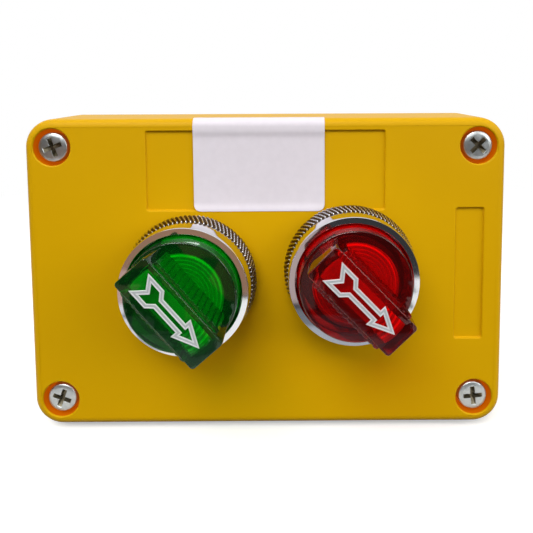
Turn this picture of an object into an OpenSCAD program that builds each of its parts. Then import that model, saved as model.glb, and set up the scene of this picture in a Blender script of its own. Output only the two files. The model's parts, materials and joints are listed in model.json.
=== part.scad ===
// Selector switch box: a moulded enclosure with two illuminated rotary selector switches.
// It stands on its long side with the operating face towards -Y and the mounting face towards +Y.
// Each switch is drawn about its own axis, with z = 0 on the lid's face and +z towards the user.

/* [Enclosure] */
// Width of the box at the parting line
box_w = 113.5; // [108:0.5:150]
// Height of the box at the parting line
box_h = 75.5; // [72:0.5:110]
// Depth of the lid, from its face to the parting line
lid_d = 17; // [15:0.5:24]
// Depth of the base behind the parting line
base_d = 40; // [39:0.5:70]
// Corner radius at the parting line
corner_r = 8; // [7:0.5:12]
// How far each side of the lid leans in between parting line and face
lid_draft = 1.5; // [0.5:0.1:2]
// Radius round the lid's front edge
lid_edge_r = 2; // [0.8:0.1:2.5]
// Radius round the base's back edge
back_edge_r = 1.5; // [0.5:0.1:2.5]
// Thickness of the side walls
wall_t = 3; // [2.6:0.1:4]
// Thickness of the lid's front panel
panel_t = 2.5; // [2:0.1:3.5]
// Thickness of the base's floor
floor_t = 3; // [2:0.1:4]

/* [Lid fixing] */
// Distance of each lid screw's axis from the box's sides
screw_inset = 8; // [7.5:0.25:10]
// Shank diameter of the lid screws
screw_d = 3.5; // [3:0.1:4]
// Head diameter of the lid screws
screw_head_d = 6.8; // [6:0.1:7]
// Head height of the lid screws
screw_head_h = 2.4; // [2:0.1:2.8]
// How far the head's top lies below the lid's face
screw_head_sink = 0.4; // [0.2:0.1:3]
// Length of the lid screws under the head
screw_len = 22; // [18:1:30]
// Diameter of the counterbore over each lid screw
counterbore_d = 8.5; // [7.5:0.1:9.5]
// Outer diameter of the lid's screw bosses
boss_d = 12.4; // [11.5:0.1:13]
// Outer diameter of the base's screw posts
post_d = 10.6; // [10.4:0.1:11]

/* [Lid seal and skirt] */
// Width of the seal between lid and base
seal_w = 1.4; // [1:0.1:1.6]
// Depth of the seal's groove in the base's rim
seal_d = 1; // [0.6:0.1:1.6]
// Thickness of the lid's locating skirt
skirt_t = 1.3; // [1:0.1:2]
// How far the skirt reaches into the base
skirt_h = 2; // [1:0.1:4]

/* [Recesses and label] */
// Depth of the two shallow recesses in the lid's face
recess_depth = 0.6; // [0.3:0.1:1]
// Width of the wide recess above the switches
wide_recess_w = 54.6; // [40:0.2:70]
// Height of the wide recess
wide_recess_h = 18.2; // [12:0.2:19]
// Distance of the wide recess from the top of the box
wide_recess_inset = 4.45; // [4:0.05:5]
// Width of the narrow recess beside the switches
side_recess_w = 6.4; // [4:0.2:7]
// Height of the narrow recess
side_recess_h = 30.8; // [20:0.2:36]
// Distance of the narrow recess from the side of the box
side_recess_inset = 6.55; // [5:0.05:8]
// Width of the blank label
label_w = 30; // [20:0.5:40]
// Height of the label's flat part below the lid's top edge
label_h = 21.4; // [15:0.2:22.4]
// Sideways place of the label's centre
label_x = -1.5; // [-10:0.5:10]
// Thickness of the label
label_t = 0.15; // [0.1:0.05:0.3]
// How far the label turns back over the lid's top edge
label_wrap = 2.2; // [1:0.2:6]
// Radius of the label's corners
label_corner_r = 1.6; // [0.5:0.1:3]

/* [Mounting and cable entry] */
// Spacing of the mounting holes along the box
mount_dx = 80; // [60:1:82]
// Spacing of the mounting holes across the box
mount_dz = 50; // [30:1:52]
// Diameter of the mounting holes
mount_hole_d = 4.5; // [3.5:0.1:5.5]
// Diameter of the pads round the mounting holes
mount_pad_d = 10; // [8:0.5:11]
// Height of those pads inside the base
mount_pad_h = 1.5; // [0.5:0.1:2.5]
// Diameter of the cable entry through the end wall
entry_d = 20.5; // [16:0.5:22]
// Distance of the cable entry's axis in front of the mounting face
entry_from_back = 19; // [18:0.5:21]
// Diameter of the cable hole in the grommet
cable_d = 7; // [5:0.5:10]
// Diameter of the grommet's flange
grommet_flange_d = 25; // [23:0.5:26]
// Thickness of the grommet's outer flange, which lies flush in the wall
grommet_flange_t = 1.2; // [0.8:0.1:1.6]

/* [Switch places] */
// Centre distance of the two switch holes
switch_pitch = 36; // [35:0.5:50]
// Height of the switch holes above the box's middle
switch_rise = 0.5; // [-2:0.5:2]
// Diameter of the switch holes, wide enough for 25 mm operators
hole_d = 25; // [24.9:0.1:25.5]
// Sideways play of both operators in their holes, as fitted
fitted_shift_x = 1; // [-1:0.1:1]
// Up and down play, green lower and red higher, as fitted
fitted_shift_y = 1.05; // [-1.05:0.05:1.05]
// How far the green operator is turned in its round hole
green_turn = -4; // [-6:1:6]
// How far the red operator is turned in its round hole
red_turn = -1; // [-6:1:6]

/* [Bezel and knob] */
// Diameter over the bezel's knurling
knurl_d = 30; // [29.4:0.1:32]
// Height of the knurled band
knurl_h = 3.6; // [2.6:0.1:3.8]
// Number of knurls round the bezel
knurl_count = 90; // [60:2:110]
// Depth of the knurling
knurl_depth = 0.5; // [0.3:0.05:0.6]
// Height of the sloping front part of the knurled band
knurl_slope_h = 1.8; // [0.5:0.1:2]
// Diameter of the bezel at its front edge
bezel_front_d = 27.7; // [27.2:0.1:28.6]
// Height of the bezel's front above the lid
bezel_top = 10.25; // [9:0.25:11]
// Thickness of the rubber washer under the bezel
washer_t = 0.8; // [0.5:0.1:1.5]
// Outer diameter of that washer
washer_d = 28.4; // [28:0.1:29]
// Diameter of the knob's skirt inside the bezel
knob_d = 25.3; // [24.8:0.1:25.6]
// Height of the knob's round front above the lid
knob_face = 13.5; // [12.5:0.25:15]
// Height of the handle's top above the lid
knob_top = 21.5; // [19:0.5:25]
// Thickness of the knob's round front
knob_face_t = 2; // [1.5:0.1:2.5]
// Bore of the knob's skirt, which takes the diffuser
knob_bore_d = 19.6; // [19:0.1:20.4]
// Width of the handle at its top
handle_w = 7.8; // [7:0.1:9]
// Extra width of the handle at its foot
handle_flare = 1; // [0:0.1:2]
// Length of the handle's top
handle_l = 21.8; // [19:0.1:23]
// Wall thickness of the hollow handle
handle_wall = 1.3; // [1.2:0.1:1.8]
// Corner radius of the handle's top
handle_corner = 0.7; // [0.4:0.1:1.2]
// Spacing of the grip ribs on the handle's sides
rib_pitch = 1.35; // [1.2:0.05:2.4]
// Diameter of the rounding of the grip ribs
rib_d = 2.2; // [1:0.1:2.4]
// How far the ribs stand out beyond the handle's top
rib_reach = 0.85; // [0.4:0.05:1]
// How far the ribs end below the handle's top
rib_drop = 1.5; // [0.5:0.1:5]
// Angle the knob turns between its two positions
knob_throw = 90; // [60:5:90]

/* [Arrow inlay] */
// Length of the arrow from its tail tips to its point
arrow_l = 16.8; // [12:0.2:18]
// Distance of the arrow's point from the end of the handle
arrow_inset = 2.3; // [1.5:0.1:4]
// Width of the arrow's head and tail
arrow_w = 5; // [4:0.1:6]
// Width of the arrow's shaft
arrow_shaft_w = 2.5; // [2.2:0.1:3]
// Width of the arrow's line
arrow_line = 0.85; // [0.5:0.05:1]
// Depth of the groove that holds the inlay
arrow_groove = 0.35; // [0.2:0.05:0.5]
// How far the inlay stands out of its groove
arrow_proud = 0.1; // [0.05:0.05:0.3]

/* [Operator] */
// Diameter of the operator's neck
neck_d = 22; // [21.5:0.1:22]
// Height of the neck above the lid
neck_top = 4.5; // [4:0.1:5]
// Diameter of the collar that clamps behind the panel
collar_d = 29; // [28.4:0.1:30]
// Thickness of that collar
collar_t = 2.5; // [2:0.1:3]
// Outer diameter of the barrel behind the panel
barrel_d = 28; // [27.6:0.1:28.4]
// Wall thickness of the barrel
barrel_wall = 1.4; // [1:0.1:1.6]
// Depth of the barrel's end behind the lid's face
barrel_end = 23; // [22.5:0.5:26]
// Diameter of the rotor's stem
rotor_d = 16.8; // [16.4:0.1:17]
// Bore of the rotor, which clears the lamp
rotor_bore_d = 12; // [11.4:0.1:12.4]
// Depth of the rotor's cam faces, at mid travel
cam_depth = 10.25; // [9.75:0.25:10.5]
// Travel of the slider and the contacts
travel = 2.5; // [2:0.1:2.6]

/* [Slider] */
// Thickness of the slider's plate
slider_t = 1.6; // [1.2:0.1:2]
// Depth of the slider's plate behind the lid's face
slider_depth = 13.4; // [13.2:0.1:13.8]
// Diameter of the slider's follower pins
follower_d = 1.8; // [1.4:0.1:2]
// Width of the slider's push legs
leg_w = 2.4; // [2:0.1:2.8]
// Breadth of the slider's push legs
leg_b = 3.2; // [2.6:0.1:3.6]

/* [Contact blocks] */
// Length of each block, along the terminals
block_l = 31.2; // [31:0.1:33]
// Depth of each block
block_d = 22; // [21.8:0.1:23]
// Width of a contact block
contact_w = 8.2; // [8:0.1:8.4]
// Width of the lamp block
lamp_w = 12.4; // [12.2:0.1:12.8]
// Gap between neighbouring blocks
block_gap = 0.2; // [0.1:0.05:0.4]
// Wall between a contact block's chamber and its sides
block_wall = 1; // [0.8:0.1:1.1]
// Thickness of the plate that carries the blocks
carrier_t = 2.5; // [2:0.1:3]
// Thickness of the brass strips and bridges
strip_t = 0.8; // [0.6:0.1:1]
// Height of the rivet contacts on strips and bridges
tip_h = 0.35; // [0.2:0.05:0.5]
// Head diameter of the terminal screws
terminal_head_d = 5.2; // [4.6:0.1:5.6]
// Shank diameter of the terminal screws
terminal_d = 3; // [2.5:0.1:3.2]

/* [Lamp] */
// Diameter of the lamp's cap
lamp_cap_d = 9.2; // [9:0.1:9.4]
// Diameter of the lamp's bulb
lamp_bulb_d = 9.8; // [9:0.1:10]
// Length of the whole lamp
lamp_l = 28; // [24:1:30]
// Length of the lamp's cap
lamp_cap_l = 10; // [9:0.5:11]

/* [Clearances] */
// Clearance of a fixed piece in its seat
seat_gap = 0.05; // [0.03:0.01:0.1]
// Clearance of the lid's skirt in the base
skirt_gap = 0.15; // [0.1:0.05:0.3]
// Clearance of a turning or sliding piece in its guide
run_gap = 0.1; // [0.05:0.01:0.15]
// Clearance between faces that pass each other
pass_gap = 0.3; // [0.2:0.05:0.4]

/* [Hidden] */
$fn = 48;

// Colours as the photograph shows them, and usual ones inside
yellow = "#d99e00";
black = "#1d1d1f";
steel = "#b9bcc0";
brass = "#c9a24b";
white = "#ececec";
rubber = "#26272a";
nylon = "#d8d4c8";
lamp_glass = "#f4f1e4";
chrome = "#cfd3d6";
green_clear = "#0a7a33";
red_clear = "#a01018";

// Overlap that makes a cut run past a face
eps = 0.1;

// Box frame
box_d = lid_d + base_d;
front_top = knob_top + arrow_proud;
face_y = (front_top - box_d) / 2;
floor_z = -(box_d - floor_t);
cavity_w = box_w - 2 * wall_t;
cavity_h = box_h - 2 * wall_t;
cavity_r = corner_r - wall_t;
screw_x = box_w / 2 - screw_inset;
screw_y = box_h / 2 - screw_inset;
screw_turns = [[-1, 1, 20], [1, 1, 45], [-1, -1, -20], [1, -1, 5]];
screw_seat = -(screw_head_sink + screw_head_h);
screw_play = 0.25;
entry_z = -(box_d - entry_from_back);
entry_boss_t = 2;
entry_boss_d = grommet_flange_d + 2.4;

// Switch places: x, y, turn about the axis
green = [-switch_pitch / 2 + fitted_shift_x, switch_rise - fitted_shift_y, green_turn];
red = [switch_pitch / 2 + fitted_shift_x, switch_rise + fitted_shift_y, red_turn];

// Knob and bezel: the knob is drawn with its pointer along +x, and rests turned to rest_angle
rest_angle = -knob_throw / 2;
knob_r = knob_d / 2;
bore_r = knob_bore_d / 2;
skirt_z = neck_top + pass_gap;
cap_r = knob_r - 0.45;
knob_edge_r = 0.6;
mouth_r = knob_r + pass_gap;
knurl_z = washer_t + 0.4;
cavity_top = knob_face - knob_face_t;
rotor_flange_t = 3.2;
diffuser_z = skirt_z + rotor_flange_t;
diffuser_t = cavity_top - pass_gap - diffuser_z;
ring_pitch = 0.85;
ring_h = 0.45;
slot_r = bore_r - 0.6;
bar_r = slot_r - pass_gap;
bar_w = handle_w - 2 * handle_wall - 2 * seat_gap;
bar_top = knob_top - handle_wall - pass_gap;
bar_pitch = 1;
bar_arcs = 4;
stop_r = rotor_d / 2 + 1.3;
stop_half = 10;
stop_depth = 2.5;

// Cam: two oblique faces, half a turn apart, push the followers back as the knob turns
follower_r = (rotor_d + rotor_bore_d) / 4;
cam_slope = travel / 2 / (follower_r * sin(knob_throw / 2));
cam_gap = 0.2;
follower_tip = -(cam_depth - travel / 2) - cam_gap;
chamber_top = slider_depth - 0.8;
chamber_r = barrel_d / 2 - barrel_wall;

// Block stack behind the operator
carrier_top = -(barrel_end - 1);
block_top = carrier_top - carrier_t;
block_end = block_top - block_d;
contact_x = lamp_w / 2 + block_gap + contact_w / 2;
carrier_w = 2 * contact_x + contact_w + 0.6;
carrier_l = block_l + 2.8;
lug_w = 3;
lug_t = 1.4;
lug_hook = 0.5;
strip_drop = 10.3;
strip_top = block_top - strip_drop;
strip_w = 5;
strip_in = 5.3;
chamber_y = 8.2;
pocket_y = 9;
strip_out = block_l / 2 - 1.2;
terminal_y = (pocket_y + block_l / 2) / 2;
chamber_end_t = 3;
chamber_ceiling = block_top - chamber_end_t;
chamber_floor = block_end + chamber_end_t;
plunger_sink = 0.9;
plunger_top = block_top - plunger_sink;
plunger_play = 0.4;
carrier_block_w = 4.4;
carrier_block_l = 5;
carrier_block_drop = 14;
carrier_block_end = block_top - carrier_block_drop;
bridge_w = 3;
bridge_l = 14.8;
tip_y = 6.3;
tip_r = 1;
touch_gap = 0.1;
no_bridge_z = strip_top + tip_h + travel + touch_gap + tip_h;
nc_bridge_z = strip_top - strip_t - tip_h - touch_gap - tip_h - strip_t;
lamp_drop = 1.5;
lamp_low = strip_top - lamp_drop;
socket_r = lamp_cap_d / 2 + 0.55;
lamp_high = lamp_low + lamp_l;

function arc(x, y, r, from, to, steps) =
    [for (i = [0 : steps]) let (a = from + (to - from) * i / steps) [x + r * cos(a), y + r * sin(a)]];

module rounded_rect(w, h, r) {
    square([w - 2 * r, h], center = true);
    square([w, h - 2 * r], center = true);
    for (x = [-1, 1], y = [-1, 1]) translate([x * (w / 2 - r), y * (h / 2 - r)]) circle(r);
}

module ring_sector(r_in, r_out, from, to) {
    polygon(concat(arc(0, 0, r_out, from, to, 12), arc(0, 0, r_in, to, from, 12)));
}

// Places children on the lid's face, x to the right and y up
module on_face() {
    translate([0, face_y, box_h / 2]) rotate([90, 0, 0]) children();
}

module at_switch(place) {
    on_face() translate([place.x, place.y, 0]) rotate([0, 0, place.z]) children();
}

module at_screws() {
    for (s = screw_turns) translate([s.x * screw_x, s.y * screw_y, 0]) rotate([0, 0, s.z]) children();
}

// A solid with rounded corners whose sides lean in by draft and end in a rounded edge at z = 0
module moulded_block(w, h, depth, draft, edge, grow) {
    profile = concat(
        [[0, -depth], [corner_r + grow, -depth]],
        arc(corner_r - draft - edge, -edge, edge + grow, 0, 90, 5),
        [[0, grow]]
    );
    hull() {
        for (x = [-1, 1], y = [-1, 1]) translate([x * (w / 2 - corner_r), y * (h / 2 - corner_r), 0])
            rotate_extrude($fn = 32) polygon(profile);
    }
}

module lid_form(grow) {
    moulded_block(box_w, box_h, lid_d, lid_draft, lid_edge_r, grow);
}

// Inside outline of lid and base, with the screw columns of diameter d left standing
module cavity_shape(d) {
    difference() {
        rounded_rect(cavity_w, cavity_h, cavity_r);
        at_screws() circle(d = d);
    }
}

// Wound wire from z = 0 to z = h
module coil(r, wire_r, h, turns, steps, sides) {
    count = turns * steps;
    points = [for (i = [0 : count], j = [0 : sides - 1])
        let (a = 360 * turns * i / count, b = 360 * j / sides, q = r + wire_r * cos(b))
        [q * cos(a), q * sin(a), wire_r + (h - 2 * wire_r) * i / count + wire_r * sin(b)]];
    skin = [for (i = [0 : count - 1], j = [0 : sides - 1])
        let (k = (j + 1) % sides)
        [i * sides + k, (i + 1) * sides + k, (i + 1) * sides + j, i * sides + j]];
    first = [for (j = [sides - 1 : -1 : 0]) j];
    last = [for (j = [0 : sides - 1]) count * sides + j];
    polyhedron(points, concat([first], skin, [last]), convexity = 10);
}

module base_housing() {
    color(black) on_face() difference() {
        union() {
            difference() {
                translate([0, 0, -box_d]) mirror([0, 0, 1])
                    moulded_block(box_w, box_h, base_d, 0, back_edge_r, 0);
                translate([0, 0, floor_z]) linear_extrude(base_d) cavity_shape(post_d);
            }
            for (x = [-1, 1], y = [-1, 1]) translate([x * mount_dx / 2, y * mount_dz / 2, floor_z - eps])
                cylinder(d = mount_pad_d, h = mount_pad_h + eps);
            translate([-cavity_w / 2 - eps, 0, entry_z]) rotate([0, 90, 0])
                cylinder(d = entry_boss_d, h = entry_boss_t + eps);
        }
        translate([0, 0, -lid_d - seal_d]) linear_extrude(seal_d + eps) seal_outline(0);
        at_screws() translate([0, 0, screw_seat - screw_len - 1])
            cylinder(d = screw_d + 2 * seat_gap, h = screw_len);
        for (x = [-1, 1], y = [-1, 1]) translate([x * mount_dx / 2, y * mount_dz / 2, -box_d - eps])
            cylinder(d = mount_hole_d, h = floor_t + mount_pad_h + 2 * eps);
        translate([-box_w / 2 - eps, 0, entry_z]) rotate([0, 90, 0]) {
            cylinder(d = entry_d, h = wall_t + entry_boss_t + 2 * eps);
            cylinder(d = grommet_flange_d + 2 * seat_gap, h = grommet_flange_t + eps);
        }
    }
}

// The seal's outline, in the middle of the wall, narrowed by a gap on each side
module seal_outline(gap) {
    out = (wall_t - seal_w) / 2 + gap;
    in = (wall_t + seal_w) / 2 - gap;
    difference() {
        rounded_rect(box_w - 2 * out, box_h - 2 * out, corner_r - out);
        rounded_rect(box_w - 2 * in, box_h - 2 * in, corner_r - in);
    }
}

module lid() {
    color(yellow) on_face() difference() {
        union() {
            difference() {
                lid_form(0);
                translate([0, 0, -lid_d - eps]) linear_extrude(lid_d - panel_t + eps) cavity_shape(boss_d);
            }
            for (side = [0, 180]) rotate([0, 0, side])
                translate([-box_w / 4, cavity_h / 2 - skirt_t, -lid_d]) {
                    cube([box_w / 2, skirt_t + eps, 3 * skirt_t]);
                    translate([0, -skirt_gap, -skirt_h]) cube([box_w / 2, skirt_t, skirt_h + skirt_t]);
                }
        }
        at_screws() {
            translate([0, 0, screw_seat]) cylinder(d = counterbore_d, h = -screw_seat + eps);
            translate([0, 0, -lid_d - eps]) cylinder(d = screw_d + 2 * screw_play, h = lid_d);
        }
        for (side = [-1, 1]) translate([side * switch_pitch / 2, switch_rise, -panel_t - eps])
            cylinder(d = hole_d, h = panel_t + 2 * eps);
        translate([-wide_recess_w / 2, box_h / 2 - wide_recess_inset - wide_recess_h, -recess_depth])
            cube([wide_recess_w, wide_recess_h, 1]);
        translate([box_w / 2 - side_recess_inset - side_recess_w, -side_recess_h / 2, -recess_depth])
            cube([side_recess_w, side_recess_h, 1]);
    }
}

module lid_seal() {
    color(rubber) on_face() translate([0, 0, -lid_d - seal_d])
        linear_extrude(seal_d) seal_outline(seat_gap);
}

// Cross-recessed pan head screws, each stopped at its own angle
module lid_screws() {
    dome = 0.7;
    side = screw_head_h - dome;
    cross_w = 0.95;
    cross_l = 4;
    cross_depth = 1.5;
    color(steel) on_face() at_screws() translate([0, 0, screw_seat]) difference() {
        union() {
            cylinder(d = screw_head_d, h = side);
            translate([0, 0, side - eps])
                cylinder(d1 = screw_head_d, d2 = screw_head_d - 1.4, h = dome + eps);
            translate([0, 0, -screw_len + 2]) cylinder(d = screw_d, h = screw_len - 2 + eps);
            translate([0, 0, -screw_len]) cylinder(d1 = 0.6, d2 = screw_d, h = 2);
        }
        for (a = [0, 90]) rotate([0, 0, a])
            translate([-cross_l / 2, -cross_w / 2, screw_head_h - cross_depth])
                cube([cross_l, cross_w, cross_depth + eps]);
    }
}

// Blank sticker, stuck across the wide recess and turned back over the lid's top edge
module label() {
    top = box_h / 2 - lid_draft;
    low = top - label_h;
    color(white) on_face() difference() {
        intersection() {
            lid_form(label_t);
            translate([label_x, (low + box_h) / 2, -label_wrap]) linear_extrude(label_wrap + 1)
                rounded_rect(label_w, box_h - low, label_corner_r);
        }
        lid_form(0);
    }
}

// Rubber grommet, flush with the end wall, with a hole for the cable
module cable_grommet() {
    lip_t = 1.2;
    lip_over = 0.7;
    neck_l = wall_t + entry_boss_t - grommet_flange_t;
    web_t = 2;
    color(rubber) on_face() translate([-box_w / 2, 0, entry_z]) rotate([0, 90, 0]) difference() {
        union() {
            cylinder(d = grommet_flange_d, h = grommet_flange_t);
            cylinder(d = entry_d - 2 * seat_gap, h = grommet_flange_t + neck_l + eps);
            translate([0, 0, grommet_flange_t + neck_l])
                cylinder(d1 = entry_d + 2 * lip_over, d2 = entry_d, h = lip_t);
        }
        translate([0, 0, -eps]) cylinder(d = cable_d, h = 3 * neck_l);
        translate([0, 0, web_t]) cylinder(d = entry_d - 4, h = 3 * neck_l);
        translate([0, 0, -eps]) cylinder(d = cable_d + 3, h = 0.5 + eps);
    }
}

module bezel_ring() {
    front_r = bezel_front_d / 2;
    foot_r = knurl_d / 2 - knurl_depth - 0.1;
    waist_r = front_r + 0.25;
    slope_z = knurl_z + knurl_h - knurl_slope_h;
    teeth = [for (i = [0 : 2 * knurl_count - 1])
        let (r = knurl_d / 2 - (i % 2) * knurl_depth, a = 180 * i / knurl_count) [r * cos(a), r * sin(a)]];
    color(chrome) {
        rotate_extrude() polygon([
            [neck_d / 2 + seat_gap, washer_t], [foot_r - 0.2, washer_t], [foot_r, washer_t + 0.2],
            [foot_r, slope_z], [waist_r, knurl_z + knurl_h + 0.1],
            [front_r, bezel_top - 0.5], [front_r - 0.12, bezel_top - 0.15],
            [front_r - 0.3, bezel_top], [mouth_r + 0.1, bezel_top - 0.25], [mouth_r, bezel_top - 0.4],
            [mouth_r, neck_top], [neck_d / 2 + seat_gap, neck_top]
        ]);
        intersection() {
            translate([0, 0, knurl_z]) linear_extrude(knurl_h) polygon(teeth);
            rotate_extrude() polygon([
                [waist_r - 0.5, knurl_z - eps], [knurl_d / 2 + eps, knurl_z - eps],
                [knurl_d / 2 + eps, slope_z], [waist_r + 0.15, knurl_z + knurl_h],
                [waist_r - 0.5, knurl_z + knurl_h]
            ]);
        }
    }
}

module panel_washer() {
    color(rubber) difference() {
        cylinder(d = washer_d, h = washer_t);
        translate([0, 0, -eps]) cylinder(d = neck_d + 2 * seat_gap, h = washer_t + 2 * eps);
    }
}

// Everything on the knob is drawn with the pointer along +x and then turned to its rest
module at_rest() {
    rotate([0, 0, rest_angle]) children();
}

module handle_form(w, l, low, top, flare, end_r) {
    hull() {
        translate([0, 0, top - eps]) linear_extrude(eps) offset(r = end_r, $fn = 24)
            square([l - 2 * end_r, w - 2 * end_r], center = true);
        translate([0, 0, low]) linear_extrude(eps) square([2 * cap_r, w + flare], center = true);
    }
}

// Upright half-round rib with a bevelled top
module grip_rib(h) {
    bevel = 0.6;
    rotate_extrude() polygon([
        [0, 0], [rib_d / 2, 0], [rib_d / 2, h - bevel], [rib_d / 2 - bevel, h], [0, h]
    ]);
}

// Clear knob: a hollow cap with a raised handle across it
module knob(tint) {
    rib_h = knob_top - rib_drop - knob_face;
    rib_n = floor(0.42 * handle_l / rib_pitch);
    color(tint) at_rest() difference() {
        union() {
            rotate_extrude() polygon(concat(
                [[0, skirt_z], [knob_r, skirt_z], [knob_r, bezel_top - 0.4]],
                arc(cap_r - knob_edge_r, knob_face - knob_edge_r, knob_edge_r, 0, 90, 4),
                [[0, knob_face]]
            ));
            intersection() {
                handle_form(handle_w, handle_l, knob_face - 1, knob_top, handle_flare, handle_corner);
                cylinder(r = cap_r - 0.3, h = knob_top + eps);
            }
            for (i = [-rib_n : rib_n], side = [-1, 1])
                translate([i * rib_pitch, side * (handle_w / 2 + rib_reach - rib_d / 2), knob_face - eps])
                    grip_rib(rib_h + eps);
        }
        translate([0, 0, skirt_z - eps]) cylinder(r = bore_r, h = cavity_top - skirt_z + eps);
        intersection() {
            translate([0, 0, cavity_top - eps])
                linear_extrude(knob_top - handle_wall - cavity_top + eps)
                    square([2 * bore_r, handle_w - 2 * handle_wall], center = true);
            translate([0, 0, cavity_top - 2 * eps]) cylinder(r = slot_r, h = knob_top);
        }
        translate([0, 0, knob_top - arrow_groove]) linear_extrude(arrow_groove + eps) arrow_line_shape();
    }
}

// Corners of the arrow's outline, its point on the handle's centre line
function arrow_outline() =
    let (tip = handle_l / 2 - arrow_inset, head = 0.31 * arrow_l, tail = 0.26 * arrow_l,
        slant = 0.07 * arrow_l, notch = 0.12 * arrow_l, w = arrow_w / 2, s = arrow_shaft_w / 2)
    [[tip, 0], [tip - head, w], [tip - head, s], [tip - arrow_l + tail + slant, s],
        [tip - arrow_l + tail, w], [tip - arrow_l, w], [tip - arrow_l + notch, 0],
        [tip - arrow_l, -w], [tip - arrow_l + tail, -w], [tip - arrow_l + tail + slant, -s],
        [tip - head, -s], [tip - head, -w]];

module arrow_line_shape() {
    difference() {
        polygon(arrow_outline());
        offset(delta = -arrow_line) polygon(arrow_outline());
    }
}

module arrow() {
    color(white) at_rest() translate([0, 0, knob_top - arrow_groove])
        linear_extrude(arrow_groove + arrow_proud) arrow_line_shape();
}

// Lens disc with prism rings and a raised bar that fills the hollow of the handle,
// carried on the rotor's flange
module diffuser() {
    r = bore_r - seat_gap;
    rings = floor((r - 0.6) / ring_pitch);
    flat = diffuser_z + diffuser_t - ring_h;
    teeth = [for (i = [rings : -1 : 1], k = [0, 1]) [(i - k) * ring_pitch, flat + k * ring_h]];
    arcs = [for (i = [0 : bar_arcs - 1], k = [0, 1]) [bar_r - (i + k) * bar_pitch, bar_top - k * ring_h]];
    color(nylon) at_rest() {
        rotate_extrude() polygon(concat([[0, diffuser_z], [r, diffuser_z], [r, flat]], teeth));
        intersection() {
            rotate_extrude() polygon(concat(
                [[0, diffuser_z + 1], [bar_r, diffuser_z + 1]], arcs,
                [[bar_r - bar_arcs * bar_pitch, bar_top], [0, bar_top]]));
            translate([-bore_r, -bar_w / 2, diffuser_z]) cube([2 * bore_r, bar_w, knob_top]);
        }
    }
}

// Turning sleeve under the knob, with a stop lug and two oblique cam faces at its inner end
module rotor() {
    reach = cam_depth + cam_slope * rotor_d / 2 + 1;
    color(white) at_rest() difference() {
        union() {
            translate([0, 0, skirt_z]) cylinder(r = bore_r - seat_gap, h = rotor_flange_t);
            translate([0, 0, -reach]) cylinder(d = rotor_d, h = reach + skirt_z + eps);
            translate([0, 0, neck_top - stop_depth + pass_gap]) linear_extrude(stop_depth)
                ring_sector(rotor_d / 2 - 0.5, stop_r, 180 - stop_half, 180 + stop_half);
        }
        translate([0, 0, -reach - eps]) cylinder(d = rotor_bore_d, h = reach + diffuser_z + 2 * eps);
        for (half = [0, 180]) rotate([0, 0, half]) intersection() {
            translate([0, 0, -cam_depth]) rotate([atan(cam_slope), 0, 0])
                translate([-2 * rotor_d, -2 * rotor_d, -2 * reach])
                    cube([4 * rotor_d, 4 * rotor_d, 2 * reach]);
            translate([0, -rotor_d, -2 * reach]) cube([rotor_d, 2 * rotor_d, 2 * reach]);
        }
    }
}

// Fixed body: a neck through the panel, a collar behind it and a barrel round the slider
module operator_body() {
    stop_from = rest_angle + 180 - stop_half - 1;
    stop_to = rest_angle + 180 + knob_throw + stop_half + 1;
    color(black) difference() {
        union() {
            translate([0, 0, -panel_t - eps]) cylinder(d = neck_d, h = panel_t + neck_top + eps);
            translate([0, 0, -panel_t - collar_t]) cylinder(d = collar_d, h = collar_t);
            translate([0, 0, -barrel_end]) cylinder(d = barrel_d, h = barrel_end - panel_t - eps);
        }
        translate([0, 0, -barrel_end - eps])
            cylinder(d = rotor_d + 2 * run_gap, h = barrel_end + neck_top + 1);
        translate([0, 0, -barrel_end - eps]) cylinder(r = chamber_r, h = barrel_end - chamber_top + eps);
        translate([0, 0, neck_top - stop_depth]) linear_extrude(stop_depth + eps)
            ring_sector(rotor_d / 2 - 0.5, stop_r + pass_gap, stop_from, stop_to);
    }
}

// Plate with two follower pins in front and two push legs behind
module slider() {
    plate_r = chamber_r - pass_gap;
    leg_end = plunger_top + 0.2;
    pin_r = follower_d / 2;
    color(nylon) union() {
        difference() {
            translate([0, 0, -slider_depth - slider_t]) cylinder(r = plate_r, h = slider_t);
            translate([0, 0, -slider_depth - slider_t - eps])
                cylinder(d = rotor_bore_d, h = slider_t + 2 * eps);
            for (side = [0, 180]) rotate([0, 0, side])
                translate([-plate_r, rotor_d / 2, -slider_depth - slider_t - eps])
                    cube([2 * plate_r, plate_r, slider_t + 2 * eps]);
        }
        for (side = [-1, 1]) {
            translate([side * follower_r, 0, -slider_depth - eps])
                cylinder(r = pin_r, h = slider_depth + follower_tip - pin_r + eps);
            translate([side * follower_r, 0, follower_tip - pin_r]) sphere(pin_r);
            translate([side * contact_x - leg_w / 2, -leg_b / 2, leg_end])
                cube([leg_w, leg_b, -slider_depth - leg_end - eps]);
        }
    }
}

module return_spring() {
    wire_r = 0.4;
    low = carrier_top - 1;
    color(steel) translate([0, 0, low])
        coil(follower_r, wire_r, -slider_depth - slider_t - low, 4, 16, 6);
}

// Plate on the barrel's end, with slots for the push legs and for the blocks' snap lugs
module carrier_plate() {
    color(black) difference() {
        translate([0, 0, block_top]) linear_extrude(carrier_t) rounded_rect(carrier_w, carrier_l, 2);
        translate([0, 0, -barrel_end]) cylinder(d = barrel_d + 2 * seat_gap, h = 1 + eps);
        translate([0, 0, block_top - eps]) cylinder(d = rotor_bore_d - 1, h = carrier_t);
        for (side = [-1, 1]) translate([side * contact_x, 0, block_top + carrier_t / 2 - eps])
            cube([leg_w + 4 * run_gap, leg_b + 4 * run_gap, carrier_t + 2 * eps], center = true);
        for (x = [-contact_x, 0, contact_x], y = [-1, 1])
            translate([x, y * (block_l / 2 - lug_t / 2), block_top + carrier_t / 2])
                cube([lug_w + 2 * seat_gap, lug_t + 2 * seat_gap, carrier_t + 2 * eps], center = true);
    }
}

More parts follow.
